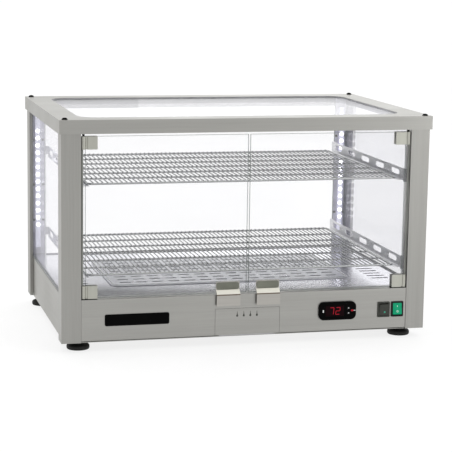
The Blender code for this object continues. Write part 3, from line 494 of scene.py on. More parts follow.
# The rods' steel is painted far darker than the wires': painted shade over the shelves.
ROD_STEEL = polished("polished_rod_steel", (0.15, 0.155, 0.15), AXIS_Y, SMOOTH)
BRACKET_STEEL = brushed("satin_bracket_steel", (0.66, 0.66, 0.68), AXIS_Y, SMOOTH)
SCREW_STEEL = polished("screw_steel", (0.5, 0.5, 0.5), AXIS_X, LENS_FINISH)
GLASS_CLEAR = glass("clear_glass_pane")
GLASS_LID = glass("clear_lid_glass", 0.13, (0.9, 0.9, 0.96))
GLASS_EDGE = glass_edge("ground_glass_edge")
BLACK = moulded("black_plastic_moulded", (0.008, 0.008, 0.008), shine=0.15)
SOFT_BLACK = moulded("dark_rocker_plastic", (0.036, 0.038, 0.032), shine=0.25)
GLOSS_BLACK = moulded("black_plastic_gloss", (0.002, 0.002, 0.002), SMOOTH, 900, 0.02, 0.02)
RUBBER = moulded("black_rubber_moulded", (0.01, 0.01, 0.009), (0.55, 0.75), 900, 0.25, 0.25)
SEAL_RUBBER = moulded("grey_seal_rubber", (0.19, 0.195, 0.18), DULL, 900, 0.15)
GASKET_RUBBER = moulded("pale_gasket_rubber", (0.32, 0.32, 0.33), DULL, 900, 0.15)
# Painted shade: the dark olive plate on each pull's back wall.
PULL_WALL_SHADE = moulded("pull_wall_painted_shade", (0.135, 0.14, 0.11), SEMI_MATT, 700, 0.15)
# Painted light: a pale lavender plate standing in for the lamps' light on the posts' rear
# flanges.
PAINTED_LAMP_LIGHT = moulded("pale_painted_lamp_light", (0.62, 0.61, 0.7), SMOOTH, 500, 0.05)
MARK = moulded("dark_etched_mark", (0.05, 0.05, 0.045), MATT, 900, 0.1, 0.2)
LENS = moulded("dark_display_lens", (0.008, 0.002, 0.003), LENS_FINISH, 300, 0.01, 0.03)
GREEN = lit("green_rocker_lens", (0.006, 0.2, 0.1), (0.006, 0.4, 0.19), 0.3, shine=0.12)
DIM_GREEN = lit("green_pilot_dot", (0.03, 0.2, 0.13), (0.05, 0.5, 0.32), 0.3)
PALE_MARK = lit("pale_printed_mark", (0.45, 0.62, 0.55), (0.5, 0.8, 0.7), 0.12, SEMI_MATT)
# The white print glows, which is painted light: it is no lamp.
WHITE_MARK = lit("white_print_painted_glow", (0.6, 0.6, 0.6), (0.7, 0.7, 0.7), 0.1, SEMI_MATT)
RED_LIGHT = lit("red_display_segment", (0.12, 0.006, 0.008), (0.75, 0.025, 0.05), 0.45,
                shine=0.05)
DIFFUSER = lit("lamp_profile_diffuser", (0.7, 0.7, 0.8), (0.8, 0.8, 0.95), 0.55, SATIN)
LAMP = lit("lamp_lens", (0.95, 0.95, 1.0), (0.97, 0.97, 1.0), 6.0)


# ---------------------------------------------------------------- building blocks

def dress(name, material):
    """Give a CAD node its material."""
    node = NODES[name]
    node.data.materials.clear()
    node.data.materials.append(material)
    return node


def soften(item, width, segments=2, angle=35):
    """Round a piece's sharp edges."""
    bevel = item.modifiers.new("fold", "BEVEL")
    bevel.width = width
    bevel.segments = segments
    bevel.limit_method = "ANGLE"
    bevel.angle_limit = math.radians(angle)
    bevel.harden_normals = True


def piece(name, data, body, *materials):
    """A new object, made of a mesh or a curve, on a body."""
    item = bpy.data.objects.new(name, data)
    bpy.context.scene.collection.objects.link(item)
    for material in materials:
        data.materials.append(material)
    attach(item, body)
    return item


def from_bmesh(name, bm, body, *materials):
    """A new object made from a bmesh, which is freed."""
    bmesh.ops.recalc_face_normals(bm, faces=bm.faces)
    mesh = bpy.data.meshes.new(name)
    bm.to_mesh(mesh)
    bm.free()
    return piece(name, mesh, body, *materials)


def smooth(item, angle=40):
    """Shade a piece smooth, apart from its sharp edges."""
    item.data.shade_smooth()
    item.data.set_sharp_from_angle(angle=math.radians(angle))
    return item


def add_slab(bm, low, high, radius=0.0, axis=AXIS_Y, segments=4):
    """A box in a bmesh, its four edges along one axis rounded."""
    low = Vector(low)
    high = Vector(high)
    shape = Matrix.Translation((low + high) / 2) @ Matrix.Diagonal((*(high - low), 1.0))
    made = bmesh.ops.create_cube(bm, size=1.0, matrix=shape)
    if radius > 0.0:
        edges = {edge: edge.verts[1].co - edge.verts[0].co
                 for vert in made["verts"] for edge in vert.link_edges}
        along = [edge for edge, run in edges.items() if abs(run[axis]) > 0.9 * run.length]
        bmesh.ops.bevel(bm, geom=along, offset=radius, segments=segments, profile=0.5,
                        affect="EDGES")


def slab(name, low, high, body, material, radius=0.0, axis=AXIS_Y, edge=SLAB_EDGE):
    """A plate with rounded corners and softened edges."""
    bm = bmesh.new()
    add_slab(bm, low, high, radius, axis)
    item = from_bmesh(name, bm, body, material)
    soften(item, edge)
    return smooth(item)


def prism(bm, ring, other):
    """A closed solid between two equal rings of vertices."""
    bm.faces.new(ring)
    bm.faces.new(list(reversed(other)))
    count = len(ring)
    for index in range(count):
        after = (index + 1) % count
        bm.faces.new((ring[index], other[index], other[after], ring[after]))


def bridge(bm, rings):
    """Join rings of vertices into a closed tube-like ring."""
    for ring, after in zip(rings, rings[1:] + rings[:1]):
        count = len(ring)
        for index in range(count):
            step = (index + 1) % count
            bm.faces.new((ring[index], ring[step], after[step], after[index]))


def add_plate(bm, points, low_y, high_y):
    """A flat plate in a bmesh, in a plane facing -Y, from its outline in X and Z."""
    front = [bm.verts.new((x, low_y, z)) for x, z in points]
    back = [bm.verts.new((x, high_y, z)) for x, z in points]
    prism(bm, front, back)


def add_turned(bm, profile, centre, axis, steps):
    """A turned shape in a bmesh: (radius, along) pairs from one end on the axis to the other."""
    before = set(bm.verts)
    verts = [bm.verts.new((radius, 0.0, along)) for radius, along in profile]
    edges = [bm.edges.new(pair) for pair in zip(verts, verts[1:])]
    bmesh.ops.spin(bm, geom=verts + edges, cent=(0, 0, 0), axis=(0, 0, 1),
                   angle=2 * math.pi, steps=steps, use_merge=True, use_duplicate=False)
    grown = [vert for vert in bm.verts if vert not in before]
    bmesh.ops.remove_doubles(bm, verts=grown, dist=0.01 * MM)
    grown = [vert for vert in grown if vert.is_valid]
    turn = Matrix.Rotation(math.pi / 2, 4, "X") if axis == AXIS_Y else Matrix.Identity(4)
    bmesh.ops.transform(bm, matrix=Matrix.Translation(centre) @ turn, verts=grown)


def turned(name, profile, centre, body, material, axis=AXIS_Z, steps=48):
    """A turned piece."""
    bm = bmesh.new()
    add_turned(bm, profile, centre, axis, steps)
    return smooth(from_bmesh(name, bm, body, material))


def add_runs(curve, runs, closed=False):
    """Add one poly spline to a curve for each run of points."""
    for run in runs:
        spline = curve.splines.new("POLY")
        spline.use_cyclic_u = closed
        spline.points.add(len(run) - 1)
        for point, place in zip(spline.points, run):
            point.co = (*place, 1.0)


def wires(name, runs, radius, body, material):
    """Round wires, one for each run of points."""
    curve = bpy.data.curves.new(name, "CURVE")
    curve.dimensions = "3D"
    curve.bevel_depth = radius
    curve.bevel_resolution = 3
    curve.use_fill_caps = True
    add_runs(curve, runs)
    return piece(name, curve, body, material)


def rounded_path(half_x, half_y, radius, steps):
    """A rectangle's outline with round corners, anticlockwise, about the origin."""
    path = []
    for sx, sy, start in ((1, 1, 0), (-1, 1, 90), (-1, -1, 180), (1, -1, 270)):
        for step in range(steps + 1):
            angle = math.radians(start + 90 * step / steps)
            path.append((sx * (half_x - radius) + radius * math.cos(angle),
                         sy * (half_y - radius) + radius * math.sin(angle)))
    return path


def circle(radius, count):
    """Points round a circle about the origin."""
    return [(radius * math.cos(2 * math.pi * step / count),
             radius * math.sin(2 * math.pi * step / count)) for step in range(count)]


def middle(node):
    """The middle of a CAD node's box."""
    low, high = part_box(node)
    return (low + high) / 2


# ---------------------------------------------------------------- case

def steel_case():
    """Finish the sheet-metal nodes: the brushing runs along each piece's length."""
    for name in ("top_frame", "front_fascia", "rear_panel", "bottom_pan", "door_sill",
                 "drawer_front"):
        soften(dress(name, STEEL_X), PANEL_EDGE)
    for side in SIDES:
        soften(dress(f"side_panel_{side}", STEEL_Y), SIDE_EDGE)
        for end in ENDS:
            soften(dress(f"post_{end}_{side}", STEEL_Z), POST_EDGE)
        for level in ("upper", "lower"):
            soften(dress(f"shelf_bracket_{level}_{side}", BRACKET_STEEL), THIN_EDGE)
    dress("floor_plate", FLOOR_STEEL)
    dress("water_tray", TRAY_STEEL)
    dress("heater_element", WIRE_STEEL)


def pane(node, body, axis, clear=GLASS_CLEAR):
    """A pane with ground, softened edges, in place of its plain CAD sheet."""
    low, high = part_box(node)
    clear_slot, edge_slot = 0, 1
    bm = bmesh.new()
    add_slab(bm, low, high)
    for face in bm.faces:
        face.material_index = clear_slot if abs(face.normal[axis]) > 0.5 else edge_slot
    item = from_bmesh(f"pane_{node}", bm, body, clear, GLASS_EDGE)
    bevel = item.modifiers.new("arris", "BEVEL")
    bevel.width = ARRIS_R
    bevel.segments = 2
    bevel.material = edge_slot
    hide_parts(node)


def panes():
    """All the glass."""
    pane("top_glass", CASE, AXIS_Z, GLASS_LID)
    pane("rear_glass", CASE, AXIS_Y)
    for side in SIDES:
        pane(f"side_glass_{side}", CASE, AXIS_X)
        pane(f"door_glass_{side}", f"door_{side}", AXIS_Y)


def seals():
    """Rubber seals between the fixed panes and the steel."""
    floor_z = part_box("floor_plate")[1].z
    top_z = floor_z + 2 * SEAL
    for side, sign in SIDES.items():
        low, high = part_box(f"side_glass_{side}")
        front_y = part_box(f"post_front_{side}")[1].y
        rear_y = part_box(f"post_rear_{side}")[0].y
        inner, outer = sorted((abs(low.x), abs(high.x)))
        xs = sorted((sign * (inner - SEAL), sign * inner))
        slab(f"side_seal_inside_{side}", (xs[0], front_y, floor_z), (xs[1], rear_y, top_z),
             CASE, SEAL_RUBBER, SEAL_R)
        xs = sorted((sign * (outer - SEAL), sign * (outer + OUTER_SEAL_OUT)))
        slab(f"side_seal_outside_{side}", (xs[0], front_y, low.z - SEAL),
             (xs[1], rear_y, low.z + 1.5 * SEAL), CASE, SEAL_RUBBER, OUTER_SEAL_R)
    low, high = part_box("rear_glass")
    slab("rear_seal_inside", (low.x, low.y - SEAL, floor_z), (high.x, low.y, top_z),
         CASE, SEAL_RUBBER, SEAL_R, AXIS_X)


def lid_gasket():
    """A gasket in the lid's window, down to the top glass."""
    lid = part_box("top_frame")[1]
    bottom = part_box("top_glass")[1].z
    top = lid.z - GASKET_DEPTH
    half_x = lid.x - WINDOW_FRAME - GASKET_W
    half_y = lid.y - WINDOW_FRAME - GASKET_W
    bm = bmesh.new()
    rings = []
    for grow, z in ((0.0, bottom), (0.0, top), (GASKET_W, top), (GASKET_W, bottom)):
        path = rounded_path(half_x + grow, half_y + grow, WINDOW_R + grow, steps=8)
        rings.append([bm.verts.new((x, y, z)) for x, y in path])
    bridge(bm, rings)
    smooth(from_bmesh("lid_window_gasket", bm, CASE, GASKET_RUBBER), angle=50)


def corner_plugs():
    """Domed plugs with a small flat brim on the lid's corners."""
    for end in ENDS:
        for side in SIDES:
            node = f"corner_plug_{end}_{side}"
            low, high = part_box(node)
            centre = middle(node)
            radius = (high.x - low.x) / 2
            height = high.z - low.z
            profile = [(0.0, height)]
            for step in range(1, DOME_STEPS + 1):
                angle = math.pi / 2 * (1 - step / DOME_STEPS)
                profile.append((radius * DOME_WIDTH * math.cos(angle),
                                height * (DOME_BASE + (1 - DOME_BASE) * math.sin(angle))))
            profile += [(radius, height * BRIM_HEIGHT), (radius, 0.0), (0.0, 0.0)]
            item = turned(f"plug_{end}_{side}", profile, (centre.x, centre.y, low.z), CASE,
                          GLOSS_BLACK, steps=32)
            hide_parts(node)


def lamps():
    """The lamp columns: a profile with a row of small domed lenses up each rear post."""
    for side in SIDES:
        node = f"led_strip_{side}"
        soften(dress(node, DIFFUSER), PANEL_EDGE)
        x = middle(node).x
        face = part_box(node)[0].y
        bm = bmesh.new()
        for index in range(LAMPS):
            z = LAMPS_LOW_Z + index * LAMP_PITCH
            add_turned(bm, LENS_PROFILE, (x, face, z), AXIS_Y, steps=20)
        smooth(from_bmesh(f"lamp_lenses_{side}", bm, CASE, LAMP))


def lamp_light_and_hole_shade():
    """A pale plate of painted lamp light behind each lamp column, and painted shade in the post's
    rack holes.
    """
    for side, sign in SIDES.items():
        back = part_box(f"led_strip_{side}")[1].y + LAMP_LIGHT_GAP
        front = back - LAMP_LIGHT_T
        edges = [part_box("floor_plate")[1].z + LAMP_LIGHT_LIFT]
        for z in RACK_Z:
            edges += [z - RACK_GAP, z + RACK_GAP]
        edges.append(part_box(f"side_glass_{side}")[1].z)
        inner, outer = sorted(sign * x for x in LAMP_LIGHT_X)
        bm = bmesh.new()
        # Painted light: pale strips where the lamps light the post, broken at the rack holes.
        for start, end in zip(edges[::2], edges[1::2]):
            add_slab(bm, (inner, front, start), (outer, back, end))
        inner, outer = sorted(sign * x for x in RACK_X)
        for start, end in zip(edges[1::2], edges[2::2]):
            add_slab(bm, (inner + RACK_GAP, front, start), (outer - RACK_GAP, back, end))
        from_bmesh(f"lamp_light_plate_{side}", bm, CASE, PAINTED_LAMP_LIGHT)
        # Painted shade: black domes in the rack holes, which stand in for the holes' dark
        # insides.
        bm = bmesh.new()
        for x in RACK_X:
            for z in RACK_Z:
                add_turned(bm, RACK_SHADE_PROFILE, (sign * x, back, z), AXIS_Y, steps=20)
        smooth(from_bmesh(f"rack_hole_shade_{side}", bm, CASE, BLACK))


# ---------------------------------------------------------------- shelves and floor

def shelf(level):
    """A wire shelf: a bent rim, long wires, and close thin rods welded on top of them."""
    node = f"shelf_{level}"
    low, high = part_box(node)
    centre_y = (low.y + high.y) / 2
    half_x = high.x - RIM_R
    front_y, rear_y = low.y + RIM_R, high.y - RIM_R
    loop = [(x, y + centre_y, low.z + RIM_R)
            for x, y in rounded_path(half_x, (rear_y - front_y) / 2, RIM_CORNER_R, steps=6)]
    rim = wires(f"shelf_rim_{level}", [loop + loop[:1]], RIM_R, CASE, WIRE_STEEL)
    z = low.z + LONG_WIRE_R
    runs = []
    for index in range(1, LONG_WIRE_SPACES):
        y = front_y + (rear_y - front_y) * index / LONG_WIRE_SPACES
        runs.append([(-half_x, y, z), (half_x, y, z)])
    supports = wires(f"shelf_wires_{level}", runs, LONG_WIRE_R, CASE, WIRE_STEEL)
    z = high.z - ROD_R
    runs = []
    for index in range(1, ROD_SPACES):
        x = -half_x + 2 * half_x * index / ROD_SPACES
        runs.append([(x, front_y, z), (x, rear_y, z)])
    grid = wires(f"shelf_rods_{level}", runs, ROD_R, CASE, ROD_STEEL)
    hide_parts(node)


def grille():
    """The slotted grille, with round-ended slots and a raised bead round its edge."""
    node = "floor_grille"
    low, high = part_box(node)
    curve = bpy.data.curves.new("floor_grille_plate", "CURVE")
    curve.dimensions = "2D"
    curve.fill_mode = "BOTH"
    curve.extrude = (high.z - low.z) / 2 - GRILLE_EDGE
    curve.bevel_depth = GRILLE_EDGE
    curve.bevel_resolution = 1
    loops = [rounded_path(high.x - GRILLE_EDGE, high.y - GRILLE_EDGE, GRILLE_CORNER_R,
                          steps=8)]
    # A radius just under half the slot's width leaves a short straight at each end.
    slot = rounded_path(SLOT_HALF_X, SLOT_R, SLOT_R * 0.999, steps=4)
    for row in range(SLOT_ROWS):
        for column in range(SLOT_COLUMNS):
            x = (column - (SLOT_COLUMNS - 1) / 2) * SLOT_PITCH[0]
            y = (row - (SLOT_ROWS - 1) / 2) * SLOT_PITCH[1]
            loops.append([(x + dx, y + dy) for dx, dy in slot])
    add_runs(curve, [[(x, y, 0.0) for x, y in loop] for loop in loops], closed=True)
    item = bpy.data.objects.new("floor_grille_plate", curve)
    bpy.context.scene.collection.objects.link(item)
    item.location = (0, 0, (low.z + high.z) / 2)
    curve.materials.append(GRILLE_STEEL)
    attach(item, CASE)
    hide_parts(node)
    bead = [(x, y, high.z - BEAD_SINK)
            for x, y in rounded_path(high.x - BEAD_INSET, high.y - BEAD_INSET,
                                     BEAD_CORNER_R, steps=8)]
    wires("floor_grille_bead", [bead + bead[:1]], BEAD_R, CASE, WIRE_STEEL)


# ---------------------------------------------------------------- doors

def doors():
    """Clamps, pulls with their painted shade, highlight and shadow line, hinge pins and the seals
    on the glass.
    """
    for side, sign in SIDES.items():
        body = f"door_{side}"
        for level in ("bottom", "top"):
            clamp = f"hinge_clamp_{level}_{side}"
            soften(dress(clamp, CLAMP_STEEL), POST_EDGE)
            clamp_screws(clamp, body, sign)
            dress(f"hinge_pin_{level}_{side}", BLACK)
        pull(side, body)
        door_seals(side, sign, body)
        hinge_rest(side)


def pull(side, body):
    """A pull with painted shade on its back wall, a painted highlight on its sloping bend, and a
    painted shadow line under that.
    """
    handle = f"door_handle_{side}"
    soften(dress(handle, PULL_STEEL), SIDE_EDGE)
    low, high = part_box(handle)
    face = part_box(f"door_glass_{side}")[0].y - WALL_SHADE_GAP
    top = high.z - WALL_SHADE_DOWN
    # Painted shade: a dark plate over the pull's back wall.
    slab(f"pull_wall_shade_{side}", (low.x + WALL_SHADE_INSET, face - WALL_SHADE_T, top - WALL_SHADE_HEIGHT),
         (high.x - WALL_SHADE_INSET, face, top), body, PULL_WALL_SHADE, WALL_SHADE_R, edge=SIDE_EDGE)
    # Painted highlight: a thin light strip laid along the sloping bend.
    start, end = (Vector((low.y + back, high.z - down)) for back, down in (BEND_START, BEND_END))
    along = (end - start).normalized()
    out = Vector((-along.y, along.x)) * BEND_HALF_T
    section = (start + out, end + out, end - out, start - out)
    left, right = low.x + BEND_INSET, high.x - BEND_INSET
    bm = bmesh.new()
    prism(bm, *([bm.verts.new((x, y, z)) for y, z in section] for x in (left, right)))
    from_bmesh(f"pull_bend_highlight_{side}", bm, body, PULL_BEND_HIGHLIGHT)
    # Painted shadow: a dark strip under the bend.
    slab(f"pull_shadow_line_{side}", (left, low.y + SHADOW_LINE_Y[0], high.z - SHADOW_LINE_DOWN[0]),
         (right, low.y + SHADOW_LINE_Y[1], high.z - SHADOW_LINE_DOWN[1]), body, PULL_SHADOW_LINE)


def hinge_rest(side):
    """The black bearing plate on the sill under a door's lower clamp."""
    low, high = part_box(f"hinge_clamp_bottom_{side}")
    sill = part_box("door_sill")[1].z
    left, front, right = REST_PAST
    slab(f"hinge_rest_{side}", (low.x - left, low.y - front, sill + REST_GAP[0]),
         (high.x + right, high.y, low.z - REST_GAP[1]), CASE, BLACK, REST_R, AXIS_Z, THIN_EDGE)


def clamp_screws(clamp, body, sign):
    """Two socket screws that press the glass, on the inner face of a clamp."""
    low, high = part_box(clamp)
    inner = low.x if sign > 0 else high.x
    x = inner + sign * CLAMP_SCREW_IN
    bm = bmesh.new()
    for share in CLAMP_SCREW_SHARES:
        z = low.z + share * (high.z - low.z)
        add_turned(bm, CLAMP_SCREW, (x, high.y, z), AXIS_Y, steps=24)
    smooth(from_bmesh(f"screws_{clamp}", bm, body, SCREW_STEEL))


def door_seals(side, sign, body):
    """A bulb seal up the hinge edge of a door, on a clear web from the glass."""
    low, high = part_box(f"door_glass_{side}")
    outer = high.x if sign > 0 else low.x
    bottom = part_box(f"hinge_clamp_bottom_{side}")[1].z + BULB_GAP
    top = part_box(f"hinge_clamp_top_{side}")[0].z - BULB_GAP
    x = outer + sign * BULB_OUT
    y = low.y + BULB_Y
    wires(f"bulb_seal_{side}", [[(x, y, bottom), (x, y, top)]], BULB_R, body, SEAL_RUBBER)
    xs = sorted((outer + sign * 0.1 * MM, x))
    slab(f"seal_web_{side}", (xs[0], y - WEB_HALF_T, bottom), (xs[1], y + WEB_HALF_T, top),
         body, GLASS_CLEAR, radius=0.2 * MM, axis=AXIS_Z, edge=0.1 * MM)


# ---------------------------------------------------------------- base

def name_plate():
    """A blank black plate with rounded corners on the fascia."""
    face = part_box("front_fascia")[0].y
    slab("name_plate", (PLATE_X[0], face + PLATE_DEPTH[0], PLATE_Z[0]),
         (PLATE_X[1], face + PLATE_DEPTH[1], PLATE_Z[1]), CASE, GLOSS_BLACK, PLATE_R,
         edge=0.35 * MM)


def drop_marks():
    """Four etched water drops on the drawer, which say that it is filled with water."""
    low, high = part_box("drawer_front")
    tip = high.z - DROP_DOWN
    bulb = tip - DROP_HEIGHT
    start, end = DROP_ARC
    bm = bmesh.new()
    for index in range(DROPS):
        centre = DROPS_LEFT_X + DROP_PITCH * index
        shape = []
        for step in range(DROP_ARC_STEPS + 1):
            angle = math.radians(start + (end - start) * step / DROP_ARC_STEPS)
            shape.append((centre + DROP_R * math.cos(angle), bulb + DROP_R * math.sin(angle)))
        shape += [(centre + 0.75 * MM, bulb + DROP_NECK_Z), (centre + 0.35 * MM, tip),
                  (centre - 0.35 * MM, tip), (centre - 0.55 * MM, bulb + DROP_NECK_Z)]
        add_plate(bm, shape, low.y - MARK_OUT, low.y + 0.2 * MM)
    smooth(from_bmesh("water_drop_marks", bm, "water_drawer", MARK), angle=50)


def panel_screws():
    """Pan-head screws along the top and the bottom of the rear panel."""
    low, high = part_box("rear_panel")
    inset_x, inset_z = SCREW_INSET
    bm = bmesh.new()
    for column in range(SCREW_COLUMNS):
        x = low.x + inset_x + (high.x - low.x - 2 * inset_x) * column / (SCREW_COLUMNS - 1)
        for z in (low.z + inset_z, high.z - inset_z):
            add_turned(bm, PAN_HEAD, (x, high.y, z), AXIS_Y, steps=24)
    smooth(from_bmesh("rear_panel_screws", bm, CASE, SCREW_STEEL))


def gland():
    """The cable gland: a ribbed nut with a round mouth."""
    node = "cable_gland"
    low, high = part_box(node)
    centre = middle(node)
    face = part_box("rear_panel")[1].y
    reach = high.y - face
    tail = face - low.y
    profile = [(radius, along - reach) for radius, along in GLAND_NUT]
    profile += GLAND_NECK + [(GLAND_TAIL_R, tail), (0.0, tail)]
    item = turned("gland_body", profile, (centre.x, face, centre.z), CASE, BLACK, AXIS_Y,
                  steps=40)
    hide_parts(node)
    bm = bmesh.new()
    for across, up in circle(RIB_RING_R, GLAND_RIBS):
        x, z = centre.x + across, centre.z + up
        add_slab(bm, (x - RIB_HALF_W, face + RIB_SPAN[0], z - RIB_HALF_W),
                 (x + RIB_HALF_W, face + reach - RIB_SPAN[1], z + RIB_HALF_W), RIB_R,
                 segments=2)
    from_bmesh("gland_ribs", bm, CASE, BLACK)


def feet():
    """Levelling feet: a rubber disc on a wide hub with two turned grooves."""
    for end in ENDS:
        for side in SIDES:
            node = f"foot_{end}_{side}"
            low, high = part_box(node)
            centre = middle(node)
            radius = (high.x - low.x) / 2
            profile = [(0.0, high.z), (HUB_R, high.z), (HUB_SIDE_R, high.z - HUB_CHAMFER)]
            profile += FOOT_HUB
            profile += [(radius - inset, z) for inset, z in FOOT_DISC]
            profile.append((0.0, 0.0))
            item = turned(f"levelling_{node}", profile, (centre.x, centre.y, 0.0),
                          f"levelling_{node}", RUBBER)
            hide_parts(node)


def fan():
    """Finish the fan's housing and wheel."""
    soften(dress("fan_housing", BLACK), THIN_EDGE)
    smooth(dress("fan_impeller", BLACK))


# ---------------------------------------------------------------- controls

def controller():
    """The controller: bezel, window, digits, keys and their marks."""
    node = "controller_body"
    soften(dress(node, GLOSS_BLACK), BEZEL_EDGE, segments=3)
    dress("controller_window", LENS)
    digits("display_digits", READING, middle("controller_window"),
           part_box("controller_window")[0].y)
    low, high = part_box(node)
    z = middle(node).z
    front, back = low.y - BAR_OUT, low.y + MARK_IN
    slab("bezel_bar", (low.x + BAR_X[0], front, z - BAR_HALF_Z),
         (low.x + BAR_X[1], back, z + BAR_HALF_Z), CASE, WHITE_MARK, radius=0.4 * MM)
    slab("bezel_tick", (high.x - TICK_X[0], front, z + TICK_Z[0]),
         (high.x - TICK_X[1], back, z + TICK_Z[1]), CASE, WHITE_MARK, radius=0.3 * MM)
    for key in ("up", "down", "set"):
        node = f"key_{key}"
        soften(dress(node, BLACK), THIN_EDGE)
        key_mark(key, middle(node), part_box(node)[0].y)


def key_mark(key, centre, face):
    """An arrow on the up and down keys, and a red spot on the set key."""
    front, back = face - MARK_OUT, face + MARK_IN
    if key == "set":
        half_x, half_z = SPOT_HALF
        slab("key_mark_set", (centre.x - half_x, front, centre.z - half_z),
             (centre.x + half_x, back, centre.z + half_z), "controller_key_set", RED_LIGHT,
             SPOT_R)
        return
    lift = 1 if key == "up" else -1
    base_z = centre.z - lift * ARROW_BASE
    points = [(centre.x - ARROW_HALF_X, base_z), (centre.x + ARROW_HALF_X, base_z),
              (centre.x, centre.z + lift * ARROW_TIP)]
    bm = bmesh.new()
    add_plate(bm, points[::lift], front, back)
    item = from_bmesh(f"key_mark_{key}", bm, f"controller_key_{key}", WHITE_MARK)
    soften(item, width=0.05 * MM, angle=50)
    smooth(item)


def digits(name, text, centre, face):
    """Seven-segment digits, lit red on the window's face."""
    half_w, half_h = DIGIT_HALF
    bm = bmesh.new()
    for index, digit in enumerate(text):
        middle_x = centre.x + (index - (len(text) - 1) / 2) * DIGIT_PITCH
        for segment in DIGITS[digit]:
            across, up, level = SEGMENTS[segment]
            x, z = across * half_w, up * half_h
            long_x = half_w - SEGMENT_GAP if level else 0.0
            long_z = 0.0 if level else half_h / 2 - SEGMENT_GAP
            ends = [(x - long_x, z - long_z), (x + long_x, z + long_z)]
            add_segment(bm, ends, middle_x, centre.z, face)
    from_bmesh(name, bm, CASE, RED_LIGHT)


def add_segment(bm, ends, middle_x, middle_z, face):
    """One six-sided bar of a digit."""
    half = SEGMENT_W / 2
    (x0, z0), (x1, z1) = ends
    if abs(x1 - x0) > abs(z1 - z0):
        shape = [(x0 - half, z0), (x0, z0 + half), (x1, z1 + half), (x1 + half, z1),
                 (x1, z1 - half), (x0, z0 - half)]
    else:
        shape = [(x0, z0 - half), (x0 - half, z0), (x1 - half, z1), (x1, z1 + half),
                 (x1 + half, z1), (x0 + half, z0)]
    places = [(middle_x + x + DIGIT_SLANT * z, middle_z + z) for x, z in shape]
    add_plate(bm, places, face - MARK_OUT, face + MARK_IN)


def switches():
    """Two rocker switches in black frames, one lit green."""
    joints = {joint["name"]: joint for joint in frame["joints"]}
    for word, rim, lens, tilt in (("light", SOFT_BLACK, SOFT_BLACK, ROCKER_TILT),
                                  ("power", BLACK, GREEN, -ROCKER_TILT)):
        soften(dress(f"switch_frame_{word}", rim), POST_EDGE)
        soften(dress(f"switch_rocker_{word}", lens), POST_EDGE, segments=3)
        mark_rocker(word, joints[f"{word}_switch_rock"], tilt)


def mark_rocker(word, joint, tilt):
    """A pilot dot on the dark rocker, or a bar and a ring on the lit one."""
    bm = bmesh.new()
    if word == "light":
        add_turned(bm, DOT_PROFILE, (DOT_X, ROCKER_FACE, DOT_Z), AXIS_Y, steps=24)
        material = DIM_GREEN
    else:
        front, back = ROCKER_FACE - ROCKER_MARK_OUT, ROCKER_FACE + ROCKER_MARK_IN
        add_slab(bm, (-ON_BAR_HALF_X, front, ON_BAR_Z[0]), (ON_BAR_HALF_X, back, ON_BAR_Z[1]),
                 radius=0.5 * MM, segments=2)
        inner, outer = OFF_RING_R
        rings = []
        for radius, y in ((inner, back), (inner, front), (outer, front), (outer, back)):
            rings.append([bm.verts.new((x, y, OFF_RING_Z + z)) for x, z in circle(radius, 24)])
        bridge(bm, rings)
        material = PALE_MARK
    turn = Matrix.Rotation(math.radians(tilt), 4, "X")
    bmesh.ops.transform(bm, matrix=Matrix.Translation(joint["pos_m"]) @ turn, verts=bm.verts)
    smooth(from_bmesh(f"rocker_mark_{word}", bm, f"{word}_switch", material))


# ---------------------------------------------------------------- camera, floor and light

def camera():
    """A long lens, a little to the left of the case and above it."""
    yaw, pitch, roll = (math.radians(CAMERA_TURNS[key]) for key in ("yaw", "pitch", "roll"))
    forward = Vector((math.sin(yaw) * math.cos(pitch), math.cos(yaw) * math.cos(pitch),
                      -math.sin(pitch)))
    right = Vector((math.cos(yaw), -math.sin(yaw), 0.0))
    up = right.cross(forward)
    rolled_right = right * math.cos(roll) + up * math.sin(roll)
    rolled_up = up * math.cos(roll) - right * math.sin(roll)
    data = bpy.data.cameras.new("camera")
    data.lens = CAMERA_LENS
    data.sensor_width = 36.0
    data.clip_start = 0.05
    data.clip_end = 100.0
    item = bpy.data.objects.new("camera", data)
    bpy.context.scene.collection.objects.link(item)
    turn = Matrix((rolled_right, rolled_up, -forward)).transposed()
    item.matrix_world = Matrix.Translation(CAMERA_PLACE) @ turn.to_4x4()
    bpy.context.scene.camera = item


def floor():
    """A plain white floor."""
    bm = bmesh.new()
    bmesh.ops.create_grid(bm, x_segments=1, y_segments=1, size=FLOOR_HALF)
    mesh = bpy.data.meshes.new("floor")
    bm.to_mesh(mesh)
    bm.free()
    item = bpy.data.objects.new("floor", mesh)
    item.location = (0, 0, -FLOOR_DROP)
    bpy.context.scene.collection.objects.link(item)
    nodes = Nodes("white_floor")
    cloud = nodes.noise(scale=3.0, detail=2.0)
    nodes.link(nodes.ramp(cloud, (0.19, 0.19, 0.19), (0.21, 0.21, 0.21)), "Base Color")
    nodes.set(Roughness=0.9, Specular_IOR_Level=0.1, Emission_Color=(1.0, 1.0, 1.0, 1.0),
              Emission_Strength=FLOOR_GLOW)
    mesh.materials.append(nodes.material)


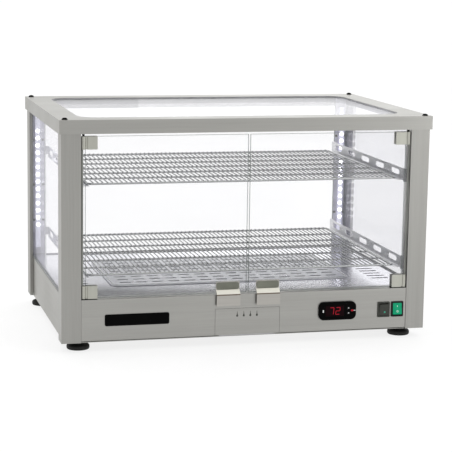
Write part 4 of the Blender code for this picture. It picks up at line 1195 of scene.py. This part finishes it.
def surroundings():
    """A white studio: lighter behind the case than in front of it, and plain white to the eye."""
    world = bpy.data.worlds.new("studio")
    world.use_nodes = True
    bpy.context.scene.world = world
    tree = world.node_tree
    tree.nodes.clear()
    output = tree.nodes.new("ShaderNodeOutputWorld")
    seen = tree.nodes.new("ShaderNodeBackground")
    seen.inputs["Color"].default_value = (1.0, 1.0, 1.0, 1.0)
    seen.inputs["Strength"].default_value = 1.0
    lighting = tree.nodes.new("ShaderNodeBackground")
    lighting.inputs["Strength"].default_value = SURROUND_STRENGTH
    place = tree.nodes.new("ShaderNodeTexCoord")
    split = tree.nodes.new("ShaderNodeSeparateXYZ")
    tree.links.new(place.outputs["Generated"], split.inputs["Vector"])
    spread = tree.nodes.new("ShaderNodeMapRange")
    spread.inputs["From Min"].default_value = -1.0
    spread.inputs["From Max"].default_value = 1.0
    spread.inputs["To Min"].default_value = 0.0
    spread.inputs["To Max"].default_value = 1.0
    tree.links.new(split.outputs["Y"], spread.inputs["Value"])
    ramp = tree.nodes.new("ShaderNodeValToRGB")
    ramp.color_ramp.elements[0].position = 0.1
    ramp.color_ramp.elements[0].color = (*SURROUND_FRONT, 1.0)
    ramp.color_ramp.elements[1].position = 0.7
    ramp.color_ramp.elements[1].color = (*SURROUND_REAR, 1.0)
    tree.links.new(spread.outputs["Result"], ramp.inputs["Fac"])
    tree.links.new(ramp.outputs["Color"], lighting.inputs["Color"])
    path = tree.nodes.new("ShaderNodeLightPath")
    mix = tree.nodes.new("ShaderNodeMixShader")
    tree.links.new(path.outputs["Is Camera Ray"], mix.inputs["Fac"])
    tree.links.new(lighting.outputs["Background"], mix.inputs[1])
    tree.links.new(seen.outputs["Background"], mix.inputs[2])
    tree.links.new(mix.outputs["Shader"], output.inputs["Surface"])


def softbox(name, place, target, size, power):
    """A soft rectangular area light."""
    data = bpy.data.lights.new(name, "AREA")
    data.shape = "RECTANGLE"
    data.size, data.size_y = size
    data.energy = power
    item = bpy.data.objects.new(name, data)
    bpy.context.scene.collection.objects.link(item)
    item.location = place
    aim = Vector(target) - Vector(place)
    item.rotation_euler = aim.to_track_quat("-Z", "Y").to_euler()
    item.visible_camera = False


def studio():
    """Floor, surroundings, soft lights and plain tone mapping."""
    floor()
    surroundings()
    for name, settings in SOFTBOXES.items():
        softbox(name, *settings)
    view = bpy.context.scene.view_settings
    view.view_transform = "Standard"
    view.look = "None"


camera()
steel_case()
panes()
seals()
lid_gasket()
corner_plugs()
lamps()
lamp_light_and_hole_shade()
shelf("upper")
shelf("lower")
grille()
doors()
name_plate()
drop_marks()
panel_screws()
gland()
feet()
fan()
controller()
switches()
studio()
